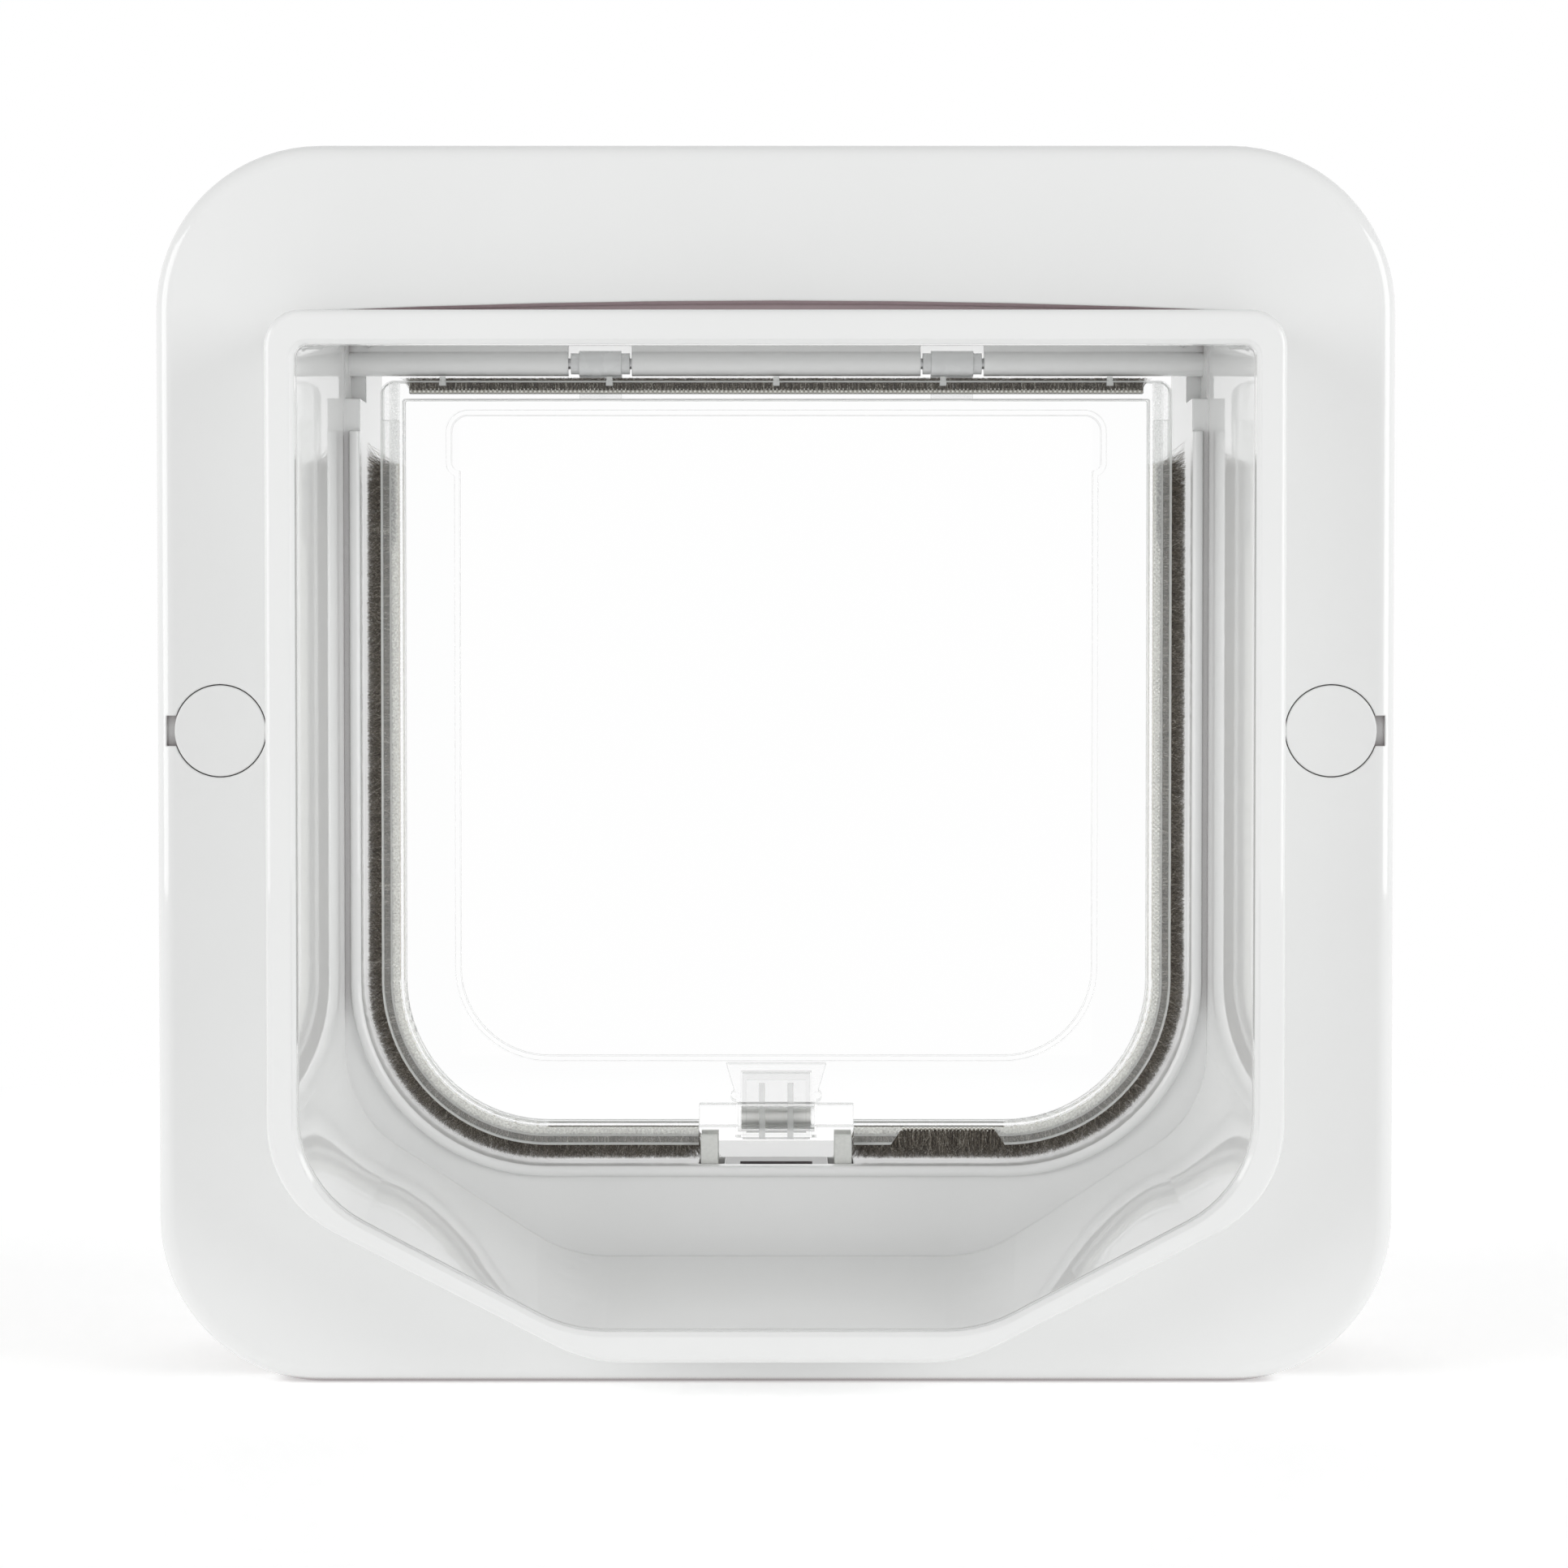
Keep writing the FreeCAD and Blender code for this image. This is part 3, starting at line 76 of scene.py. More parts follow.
# The floor, which takes the part's shadow near its middle and is plain white further off
FLOOR_HALF = 3.0
NEAR_FLOOR_REACH = 0.35
NEAR_FLOOR_FADE = 0.15

# The flap's outline, which the pile strips follow
FLAP_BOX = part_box("flap")
FLAP_HALF = FLAP_BOX[1][0]
FLAP_TOP = 68.5 * MM
FLAP_FOOT = FLAP_BOX[0][2]
FLAP_CORNER = 29.9 * MM
FLAP_Y = 33.0 * MM
GROOVE_DEPTH = 3.2 * MM
TOP_GROOVE_DEPTH = 2.2 * MM
LOCK_NOTCH_HALF = 14.1 * MM

# The pile: where it ends, how far it stands out, and how thick it is
SIDE_PILE_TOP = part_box("edge_seal")[1][2]
TOP_PILE_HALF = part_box("top_seal")[1][0]
TOP_PILE_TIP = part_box("top_seal")[1][2]
PILE_REACH = 2.75 * MM
PILE_HALF_DEPTH = 1.1 * MM

# Its fibres, as flat blades: their number, their width, and how they lean, roll and vary in length
BLADES_PER_METRE = 130000
BLADE_HALF_WIDTH = 0.032 * MM
ROOT_SPREAD = 1.12
USUAL_LEAN = 0.5
MOST_LEAN = 0.9
MOST_ROLL = 0.9
SHORTEST_BLADE = 0.80

# Its woven tape, with a row of stitches along each cheek
TAPE_HALF_WIDTH = PILE_HALF_DEPTH + 0.1 * MM
TAPE_HEIGHT = 0.5 * MM
TAPE_CHEEK = 1.2 * MM
TAPE_STEP = 1.5 * MM
CHEEK_START = 15.0 * MM
KNOT_PITCH = 0.7 * MM
KNOT_RADIUS = 0.16 * MM
KNOT_RISE = (0.1 * MM, 0.25 * MM)

# The gap in the front lip at the foot, through which the pile shows
LIP_NOTCH_X = 31.0 * MM
LIP_NOTCH_HALF = 9.0 * MM

# Painted highlight lines along the clear lip, from and to, measured outwards from the flap's edge
TOP_LINE = (-0.30 * MM, 0.05 * MM)
OUTER_LINE = (-0.40 * MM, 0.05 * MM)
INNER_LINE = (-1.95 * MM, -1.60 * MM)
TAPE_SHOWS_FROM = -1.9 * MM

# The pegs along the top of the flap, which get a painted highlight
PEG_PITCH = 30.0 * MM
PEG_HALF = 0.6 * MM
PEG_LENGTH = 1.6 * MM

# The slide: finger ribs stand out from its front, and bars below them part its three windows; both get a
# painted grey shade
SLIDE_FRONT = 28.5 * MM
RIB_HEIGHT = 0.8 * MM
BAR_X = 2.55 * MM
BAR_HALF = 0.55 * MM
SLIDE_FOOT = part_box("manual_lock_slide")[0][2]
BAR_HEIGHT = 5.6 * MM

# The holder's barrel round the magnet lies below this height, and its clear front above
BARREL_TOP = -62.3 * MM

# The clear middle of the flap; round it the panel is a little hazy
WINDOW_HALF = 57.1 * MM
WINDOW_TOP = 62.4 * MM
WINDOW_FOOT = -53.3 * MM

# The drip slot above the collar, inside which a dusky pink shade is painted
DRIP_LOW = (-80.6 * MM, -8.8 * MM, 75.2 * MM)
DRIP_HIGH = (80.6 * MM, -2.0 * MM, 78.9 * MM)

# Painted shade on white mouldings: its tone in narrow recesses and in the drip slot
GAP_SHADE = (0.30, 0.255, 0.26)
DRIP_SHADE = (0.70, 0.60, 0.62)

# Painted highlights and specks on clear plastic, whitish where lit from the front and from behind, and what
# clear faces let through
HIGHLIGHT_AND_SPECK_FRONT = (0.60, 0.61, 0.60)
HIGHLIGHT_AND_SPECK_BEHIND = (0.36, 0.36, 0.36)
SEE_THROUGH = (0.985, 0.985, 0.985)

# The share of light that clear and milky plastic let through where they would cast a shadow
CLEAR_SHADOW = (0.96, 0.96, 0.96)
MILKY_SHADOW = (0.8, 0.8, 0.8)


def new_material(name):
    """A material with its Principled shader and its node tree."""
    material = bpy.data.materials.new(name)
    material.use_nodes = True
    tree = material.node_tree
    return material, tree, tree.nodes["Principled BSDF"]


def noise(tree, scale, detail):
    """Noise in object space, in cycles per metre."""
    place = tree.nodes.new("ShaderNodeTexCoord")
    texture = tree.nodes.new("ShaderNodeTexNoise")
    texture.inputs["Scale"].default_value = scale
    texture.inputs["Detail"].default_value = detail
    tree.links.new(place.outputs["Object"], texture.inputs["Vector"])
    return texture


def ramp(tree, source, low, high, low_at=0.35, high_at=0.65):
    """A colour ramp between two colours, driven by a value."""
    node = tree.nodes.new("ShaderNodeValToRGB")
    node.color_ramp.elements[0].position = low_at
    node.color_ramp.elements[0].color = (*low, 1)
    node.color_ramp.elements[1].position = high_at
    node.color_ramp.elements[1].color = (*high, 1)
    tree.links.new(source, node.inputs["Fac"])
    return node


def spread(tree, source, low, high):
    """A value mapped from 0..1 to a range."""
    node = tree.nodes.new("ShaderNodeMapRange")
    node.inputs["To Min"].default_value = low
    node.inputs["To Max"].default_value = high
    tree.links.new(source, node.inputs["Value"])
    return node.outputs["Result"]


def shaded(tone, share):
    """A colour made darker or lighter, to a share of itself."""
    return tuple(c * share for c in tone)


def mixed_shader(tree, factor, first, second):
    """A shader that goes from the first to the second as the factor goes from 0 to 1."""
    mix = tree.nodes.new("ShaderNodeMixShader")
    tree.links.new(factor, mix.inputs["Fac"])
    tree.links.new(first, mix.inputs[1])
    tree.links.new(second, mix.inputs[2])
    return mix.outputs["Shader"]


def simple_shader(tree, kind, tone):
    """A Transparent, Translucent or Diffuse shader, or an Emission one, in one colour."""
    node = tree.nodes.new(kind)
    node.inputs["Color"].default_value = (*tone, 1)
    return node


def rounded_normal(tree, shader, radius, texture=None, strength=0.0, distance=0.0):
    """Softens sharp moulded edges, with a fine surface texture on top where one is given."""
    bevel = tree.nodes.new("ShaderNodeBevel")
    bevel.samples = 6
    bevel.inputs["Radius"].default_value = radius
    if texture is None:
        tree.links.new(bevel.outputs["Normal"], shader.inputs["Normal"])
        return
    bump = tree.nodes.new("ShaderNodeBump")
    bump.inputs["Strength"].default_value = strength
    bump.inputs["Distance"].default_value = distance
    tree.links.new(texture.outputs["Fac"], bump.inputs["Height"])
    tree.links.new(bevel.outputs["Normal"], bump.inputs["Normal"])
    tree.links.new(bump.outputs["Normal"], shader.inputs["Normal"])


def work_out(tree, operation, first, second=None):
    """One step of arithmetic between sockets or numbers."""
    node = tree.nodes.new("ShaderNodeMath")
    node.operation = operation
    for place, value in enumerate((first, second)):
        if value is None:
            continue
        if isinstance(value, (int, float)):
            node.inputs[place].default_value = value
        else:
            tree.links.new(value, node.inputs[place])
    return node.outputs["Value"]


def object_axes(tree):
    """The place in object space as three sockets."""
    place = tree.nodes.new("ShaderNodeTexCoord")
    parts = tree.nodes.new("ShaderNodeSeparateXYZ")
    tree.links.new(place.outputs["Object"], parts.inputs["Vector"])
    return parts.outputs["X"], parts.outputs["Y"], parts.outputs["Z"]


def within(tree, value, low, high, soft):
    """1 where a value lies between two limits and 0 elsewhere, with soft steps."""
    away = work_out(tree, "ABSOLUTE", work_out(tree, "SUBTRACT", value, (low + high) / 2))
    step = tree.nodes.new("ShaderNodeMapRange")
    step.inputs["From Min"].default_value = (high - low) / 2 - soft
    step.inputs["From Max"].default_value = (high - low) / 2 + soft
    step.inputs["To Min"].default_value = 1.0
    step.inputs["To Max"].default_value = 0.0
    tree.links.new(away, step.inputs["Value"])
    return step.outputs["Result"]


def inside_box(tree, low, high, soft):
    """1 inside a box in object space and 0 outside it."""
    found = 1.0
    for axis, start, end in zip(object_axes(tree), low, high):
        found = work_out(tree, "MINIMUM", within(tree, axis, start, end, soft), found)
    return found


def from_flap_edge(tree):
    """How far a place lies outside the flap's sides and foot; inside them it is below zero."""
    x, _, z = object_axes(tree)
    side = work_out(tree, "SUBTRACT", work_out(tree, "ABSOLUTE", x), FLAP_HALF - FLAP_CORNER)
    foot = work_out(tree, "SUBTRACT", FLAP_FOOT + FLAP_CORNER, z)
    corner = tree.nodes.new("ShaderNodeCombineXYZ")
    tree.links.new(work_out(tree, "MAXIMUM", side, 0.0), corner.inputs["X"])
    tree.links.new(work_out(tree, "MAXIMUM", foot, 0.0), corner.inputs["Y"])
    length = tree.nodes.new("ShaderNodeVectorMath")
    length.operation = "LENGTH"
    tree.links.new(corner.outputs["Vector"], length.inputs[0])
    return work_out(tree, "SUBTRACT", length.outputs["Value"], FLAP_CORNER)


def mixed_colour(tree, factor, first, second):
    """A colour that goes from the first to the second as the factor goes from 0 to 1."""
    mix = tree.nodes.new("ShaderNodeMix")
    mix.data_type = "RGBA"
    tree.links.new(factor, mix.inputs["Factor"])
    for place, colour in ((6, first), (7, second)):
        if isinstance(colour, tuple):
            mix.inputs[place].default_value = (*colour, 1)
        else:
            tree.links.new(colour, mix.inputs[place])
    return mix.outputs[2]


def white_plastic(name, tone, gloss_low, gloss_high):
    """Glossy white moulding: faint flow marks, a painted warm shade in narrow recesses and a painted dusky
    pink shade in the drip slot.
    """
    material, tree, shader = new_material(name)
    flow = noise(tree, 18.0, 4.0)
    colour = ramp(tree, flow.outputs["Fac"], shaded(tone, 0.99), shaded(tone, 1.01))
    # Painted shade: where ambient occlusion finds a narrow recess, the colour turns to GAP_SHADE
    occlusion = tree.nodes.new("ShaderNodeAmbientOcclusion")
    occlusion.samples = 8
    occlusion.inputs["Distance"].default_value = 2 * MM
    deep = ramp(tree, occlusion.outputs["AO"], (0, 0, 0), (1, 1, 1), 0.1, 0.5)
    open_or_deep = mixed_colour(tree, deep.outputs["Color"], GAP_SHADE, colour.outputs["Color"])
    # Painted shade: a dusky pink shade inside the drip slot
    slot = inside_box(tree, DRIP_LOW, DRIP_HIGH, 0.1 * MM)
    tree.links.new(mixed_colour(tree, slot, open_or_deep, DRIP_SHADE), shader.inputs["Base Color"])
    wear = noise(tree, 120.0, 5.0)
    tree.links.new(spread(tree, wear.outputs["Fac"], gloss_low, gloss_high), shader.inputs["Roughness"])
    rounded_normal(tree, shader, 0.5 * MM, noise(tree, 900.0, 2.0), 0.08, 0.02 * MM)
    return material


def side_faces(tree):
    """1 on faces that look along the flap's plane, such as the edges of its lips, 0 on the broad ones."""
    place = tree.nodes.new("ShaderNodeTexCoord")
    parts = tree.nodes.new("ShaderNodeSeparateXYZ")
    tree.links.new(place.outputs["Normal"], parts.inputs["Vector"])
    facing = work_out(tree, "ABSOLUTE", parts.outputs["Y"])
    return within(tree, facing, -0.65, 0.65, 0.25)


def lip_highlights_and_specks(tree):
    """Where the flap's clear edge gets painted highlights: its moulded edges, two fine lines and the pegs;
    and whitish specks over the tape and the pile.
    """
    x, _, z = object_axes(tree)
    edge = from_flap_edge(tree)
    top_line = within(tree, z, FLAP_TOP + TOP_LINE[0], FLAP_TOP + TOP_LINE[1], 0.04 * MM)
    outer_line = within(tree, edge, *OUTER_LINE, 0.04 * MM)
    inner_line = within(tree, edge, *INNER_LINE, 0.04 * MM)
    over_tape = within(tree, edge, -GROOVE_DEPTH, TAPE_SHOWS_FROM, 0.1 * MM)
    over_pile = within(tree, edge, TAPE_SHOWS_FROM, 0.0, 0.1 * MM)
    from_peg = work_out(tree, "PINGPONG", x, PEG_PITCH / 2)
    peg_across = within(tree, from_peg, -PEG_HALF, PEG_HALF, 0.05 * MM)
    peg_height = within(tree, z, TOP_PILE_TIP - PEG_LENGTH, TOP_PILE_TIP + PEG_LENGTH, 0.05 * MM)
    speck = noise(tree, 2600.0, 2.0).outputs["Fac"]
    parts = (
        (side_faces(tree), 0.6),
        (top_line, 0.6),
        (outer_line, 0.65),
        (inner_line, 0.45),
        (work_out(tree, "MULTIPLY", over_tape, speck), 0.75),
        (work_out(tree, "MULTIPLY", over_pile, speck), 0.25),
        (work_out(tree, "MULTIPLY", peg_across, peg_height), 0.75),
    )
    marks = 0.0
    for mask, strength in parts:
        marks = work_out(tree, "MAXIMUM", work_out(tree, "MULTIPLY", mask, strength), marks)
    return marks


def shadowless(tree, shader, shadow_tone):
    """Makes a shader the surface, which lets most light through where it would cast a shadow."""
    clear = simple_shader(tree, "ShaderNodeBsdfTransparent", shadow_tone)
    path = tree.nodes.new("ShaderNodeLightPath")
    surface = mixed_shader(tree, path.outputs["Is Shadow Ray"], shader, clear.outputs["BSDF"])
    tree.links.new(surface, tree.nodes["Material Output"].inputs["Surface"])


def painted_highlights_and_specks(tree, shader, marks):
    """Turns a clear shader whitish where the marks say, as painted highlights and specks, and lets light
    through to what lies behind.
    """
    front = simple_shader(tree, "ShaderNodeBsdfDiffuse", HIGHLIGHT_AND_SPECK_FRONT)
    behind = simple_shader(tree, "ShaderNodeBsdfTranslucent", HIGHLIGHT_AND_SPECK_BEHIND)
    highlight_and_speck_shader = tree.nodes.new("ShaderNodeAddShader")
    tree.links.new(front.outputs["BSDF"], highlight_and_speck_shader.inputs[0])
    tree.links.new(behind.outputs["BSDF"], highlight_and_speck_shader.inputs[1])
    shadowless(tree, mixed_shader(tree, marks, shader, highlight_and_speck_shader.outputs["Shader"]), CLEAR_SHADOW)


def clear_plastic(name, tint, border_tint, rough):
    """Clear polished plastic: a little greyer outside the window, with painted highlights along its lips."""
    material, tree, shader = new_material(name)
    low = (-WINDOW_HALF, -PAST_THE_PART, WINDOW_FOOT)
    high = (WINDOW_HALF, PAST_THE_PART, WINDOW_TOP)
    window = inside_box(tree, low, high, 0.2 * MM)
    tree.links.new(mixed_colour(tree, window, border_tint, tint), shader.inputs["Base Color"])
    shader.inputs["Transmission Weight"].default_value = 1.0
    shader.inputs["IOR"].default_value = 1.3
    haze = noise(tree, 60.0, 4.0)
    tree.links.new(spread(tree, haze.outputs["Fac"], rough, rough * 2), shader.inputs["Roughness"])
    rounded_normal(tree, shader, 0.12 * MM)
    painted_highlights_and_specks(tree, shader.outputs["BSDF"], lip_highlights_and_specks(tree))
    return material


def clear_holder(name, tint, rough):
    """The clear holder on the foot of the flap, with painted highlights on its moulded edges."""
    material, tree, shader = new_material(name)
    haze = noise(tree, 200.0, 3.0)
    colour = ramp(tree, haze.outputs["Fac"], shaded(tint, 0.99), tint)
    tree.links.new(colour.outputs["Color"], shader.inputs["Base Color"])
    shader.inputs["Transmission Weight"].default_value = 1.0
    shader.inputs["IOR"].default_value = 1.1
    tree.links.new(spread(tree, haze.outputs["Fac"], rough, rough * 2), shader.inputs["Roughness"])
    rounded_normal(tree, shader, 0.12 * MM)
    front = simple_shader(tree, "ShaderNodeBsdfTransparent", SEE_THROUGH)
    barrel = within(tree, object_axes(tree)[2], -PAST_THE_PART, BARREL_TOP, 0.01 * MM)
    body = mixed_shader(tree, barrel, front.outputs["BSDF"], shader.outputs["BSDF"])
    # Painted highlights: whitish side faces outline the holder
    painted_highlights_and_specks(tree, body, work_out(tree, "MULTIPLY", side_faces(tree), 0.35))
    return material


def thin_clear(name, tone):
    """Small clear fittings: see-through on broad faces, with a painted grey shade along edges, finger ribs
    and bars.
    """
    material, tree, shader = new_material(name)
    streak = noise(tree, 500.0, 3.0)
    colour = ramp(tree, streak.outputs["Fac"], shaded(tone, 0.97), tone)
    tree.links.new(colour.outputs["Color"], shader.inputs["Base Color"])
    shader.inputs["Roughness"].default_value = 0.08
    rounded_normal(tree, shader, 0.2 * MM)
    x, y, z = object_axes(tree)
    ribs = within(tree, y, SLIDE_FRONT - RIB_HEIGHT - 0.1 * MM, SLIDE_FRONT - 0.02 * MM, 0.01 * MM)
    across = within(tree, work_out(tree, "ABSOLUTE", x), BAR_X - BAR_HALF, BAR_X + BAR_HALF, 0.02 * MM)
    low_down = within(tree, z, SLIDE_FOOT, SLIDE_FOOT + BAR_HEIGHT, 0.02 * MM)
    bars = work_out(tree, "MINIMUM", across, low_down)
    grey = work_out(tree, "MULTIPLY", work_out(tree, "MAXIMUM", ribs, bars), 0.6)
    grey = spread(tree, work_out(tree, "MAXIMUM", grey, side_faces(tree)), 0.05, 0.7)
    broad = simple_shader(tree, "ShaderNodeBsdfTransparent", SEE_THROUGH)
    body = mixed_shader(tree, grey, broad.outputs["BSDF"], shader.outputs["BSDF"])
    shadowless(tree, body, CLEAR_SHADOW)
    return material


def milky_plastic(name, tone):
    """Natural unpigmented plastic: milky in the thick barrel, and nearly clear in the foot below it."""
    material, tree, shader = new_material(name)
    cloud = noise(tree, 250.0, 3.0)
    colour = ramp(tree, cloud.outputs["Fac"], shaded(tone, 0.96), tone)
    tree.links.new(colour.outputs["Color"], shader.inputs["Base Color"])
    tree.links.new(spread(tree, cloud.outputs["Fac"], 0.22, 0.32), shader.inputs["Roughness"])
    rounded_normal(tree, shader, 0.3 * MM)
    glow = simple_shader(tree, "ShaderNodeBsdfTranslucent", tone)
    body = tree.nodes.new("ShaderNodeMixShader")
    body.inputs["Fac"].default_value = 0.15
    tree.links.new(shader.outputs["BSDF"], body.inputs[1])
    tree.links.new(glow.outputs["BSDF"], body.inputs[2])
    through = simple_shader(tree, "ShaderNodeBsdfTransparent", (0.97, 0.97, 0.97))
    foot = within(tree, object_axes(tree)[2], 0.0, TOP_PILE_TIP, 0.05 * MM)
    clearness = spread(tree, foot, 0.15, 0.92)
    whole = mixed_shader(tree, clearness, body.outputs["Shader"], through.outputs["BSDF"])
    shadowless(tree, whole, MILKY_SHADOW)
    return material


def woven_tape():
    """The cream backing of the pile: fine threads across and along."""
    material, tree, shader = new_material("woven_tape")
    place = tree.nodes.new("ShaderNodeTexCoord")
    weave = tree.nodes.new("ShaderNodeTexChecker")
    weave.inputs["Scale"].default_value = 2500.0
    weave.inputs["Color1"].default_value = (0.46, 0.44, 0.38, 1)
    weave.inputs["Color2"].default_value = (0.90, 0.89, 0.84, 1)
    tree.links.new(place.outputs["Object"], weave.inputs["Vector"])
    tree.links.new(weave.outputs["Color"], shader.inputs["Base Color"])
    shader.inputs["Roughness"].default_value = 0.7
    return material


def pile_fibre():
    """Grey-brown pile: each fibre has its own shade, and a few are nearly white."""
    material, tree, shader = new_material("pile_fibre")
    info = tree.nodes.new("ShaderNodeNewGeometry")
    shades = tree.nodes.new("ShaderNodeValToRGB")
    steps = [
        (0.0, (0.035, 0.026, 0.018)),
        (0.5, (0.120, 0.098, 0.074)),
        (0.88, (0.270, 0.240, 0.195)),
        (1.0, (0.600, 0.570, 0.500)),
    ]
    elements = shades.color_ramp.elements
    while len(elements) < len(steps):
        elements.new(0.5)
    for element, (place, colour) in zip(elements, steps):
        element.position = place
        element.color = (*colour, 1)
    speck = spread(tree, noise(tree, 3000.0, 2.0).outputs["Fac"], -0.7, 0.7)
    shade = work_out(tree, "ADD", info.outputs["Random Per Island"], speck)
    tree.links.new(shade, shades.inputs["Fac"])
    tree.links.new(shades.outputs["Color"], shader.inputs["Base Color"])
    tuft = noise(tree, 700.0, 3.0)
    tree.links.new(spread(tree, tuft.outputs["Fac"], 0.3, 0.55), shader.inputs["Roughness"])
    shader.inputs["Sheen Weight"].default_value = 0.3
    return material


def metal(name, tone, rough):
    """Plated metal with fine drawn lines."""
    material, tree, shader = new_material(name)
    shader.inputs["Metallic"].default_value = 1.0
    grain = noise(tree, 400.0, 4.0)
    colour = ramp(tree, grain.outputs["Fac"], shaded(tone, 0.9), tone)
    tree.links.new(colour.outputs["Color"], shader.inputs["Base Color"])
    tree.links.new(spread(tree, grain.outputs["Fac"], rough, rough * 1.6), shader.inputs["Roughness"])
    rounded_normal(tree, shader, 0.2 * MM, grain, 0.1, 0.02 * MM)
    return material


def satin_plastic(name, tone, rough=0.4):
    """Satin moulded plastic with a fine spark-eroded grain."""
    material, tree, shader = new_material(name)
    grain = noise(tree, 1500.0, 2.0)
    colour = ramp(tree, grain.outputs["Fac"], shaded(tone, 0.94), tone)
    tree.links.new(colour.outputs["Color"], shader.inputs["Base Color"])
    tree.links.new(spread(tree, grain.outputs["Fac"], rough * 0.85, rough * 1.15), shader.inputs["Roughness"])
    rounded_normal(tree, shader, 0.3 * MM, grain, 0.25, 0.03 * MM)
    return material


def wound_wire():
    """Enamelled copper wire wound side by side, its colour painted darker in the grooves between the turns as
    shade.
    """
    material, tree, shader = new_material("wound_wire")
    place = tree.nodes.new("ShaderNodeTexCoord")
    wave = tree.nodes.new("ShaderNodeTexWave")
    wave.bands_direction = "Y"
    wave.inputs["Scale"].default_value = 900.0
    tree.links.new(place.outputs["Object"], wave.inputs["Vector"])
    # Painted shade: darker copper in the grooves between turns, where the bump dips
    colour = ramp(tree, wave.outputs["Fac"], (0.25, 0.09, 0.03), (0.75, 0.36, 0.16), 0.1, 0.7)
    tree.links.new(colour.outputs["Color"], shader.inputs["Base Color"])
    shader.inputs["Metallic"].default_value = 1.0
    shader.inputs["Roughness"].default_value = 0.3
    bump = tree.nodes.new("ShaderNodeBump")
    bump.inputs["Strength"].default_value = 0.6
    bump.inputs["Distance"].default_value = 0.1 * MM
    tree.links.new(wave.outputs["Fac"], bump.inputs["Height"])
    tree.links.new(bump.outputs["Normal"], shader.inputs["Normal"])
    return material


WHITE = white_plastic("white_moulding", (0.85, 0.855, 0.85), 0.02, 0.045)
CLEAR = clear_plastic("clear_moulding", (0.995, 0.995, 0.995), (0.985, 0.987, 0.987), 0.01)
HOLDER = clear_holder("clear_holder", (0.99, 0.99, 0.99), 0.02)
# The tone of the clear fittings is the painted grey shade on their edges, ribs and bars
THIN = thin_clear("clear_fitting", (0.64, 0.65, 0.64))
MILKY = milky_plastic("milky_knuckle", (0.92, 0.93, 0.93))
TAPE = woven_tape()
FIBRE = pile_fibre()
STEEL = metal("plated_steel", (0.60, 0.60, 0.61), 0.25)
MAGNET = metal("plated_magnet", (0.92, 0.92, 0.90), 0.35)
LOCK = satin_plastic("lock_plastic", (0.78, 0.79, 0.76))
CELL = satin_plastic("cell_sleeve", (0.06, 0.065, 0.07), 0.3)
BOARD = satin_plastic("board_lacquer", (0.03, 0.14, 0.06), 0.3)
BUTTON = satin_plastic("button_plastic", (0.32, 0.33, 0.34))
WIRE = wound_wire()

SLOT_MATERIALS = {
    "white_shell": WHITE,
    "clear_plastic": CLEAR,
    "milky_plastic": MILKY,
    "steel": STEEL,
    "lock_plastic": LOCK,
    "cell": CELL,
    "board": BOARD,
    "button_plastic": BUTTON,
    "copper_wire": WIRE,
    "pile": FIBRE,
}
OWN_MATERIALS = {
    "lock_guide": HOLDER,
    "manual_lock_slide": THIN,
    "keeper_plate": THIN,
    "status_light": THIN,
    "flap_magnet": MAGNET,
}


def dress_nodes():
    """Gives every CAD node the material of its slot, or its own where it has one."""
    slots = {row["node"]: row["material_slot"] for row in frame["record"]["subparts"]}
    for name, piece in frame["nodes"].items():
        material = OWN_MATERIALS.get(name, SLOT_MATERIALS[slots[name]])
        for slot in piece.material_slots:
            slot.material = material


def edge_path(side):
    """Points and outward directions along the flap's edge, from the top of one side to the foot."""
    corner_x = FLAP_HALF - FLAP_CORNER
    corner_z = FLAP_FOOT + FLAP_CORNER
    straight = SIDE_PILE_TOP - corner_z
    arc = FLAP_CORNER * math.pi / 2
    foot = corner_x - LOCK_NOTCH_HALF

    def at(distance):
        if distance < straight:
            return side * FLAP_HALF, SIDE_PILE_TOP - distance, side, 0.0
        if distance < straight + arc:
            angle = (distance - straight) / FLAP_CORNER
            out_x = math.cos(angle)
            out_z = -math.sin(angle)
            return (side * (corner_x + FLAP_CORNER * out_x), corner_z + FLAP_CORNER * out_z,
                    side * out_x, out_z)
        along = distance - straight - arc
        return side * (corner_x - along), FLAP_FOOT, 0.0, -1.0

    return at, straight + arc + foot


def top_path():
    """Points and the outward direction along the top edge of the flap."""

    def at(distance):
        return distance - TOP_PILE_HALF, FLAP_TOP, 0.0, 1.0

    return at, 2 * TOP_PILE_HALF


def add_piece(name, vertices, faces, material):
    """A mesh with the given material that rides with the flap."""
    mesh = bpy.data.meshes.new(name)
    mesh.from_pydata(vertices, [], faces)
    mesh.materials.append(material)
    piece = bpy.data.objects.new(name, mesh)
    bpy.context.collection.objects.link(piece)
    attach(piece, "flap")
    return piece


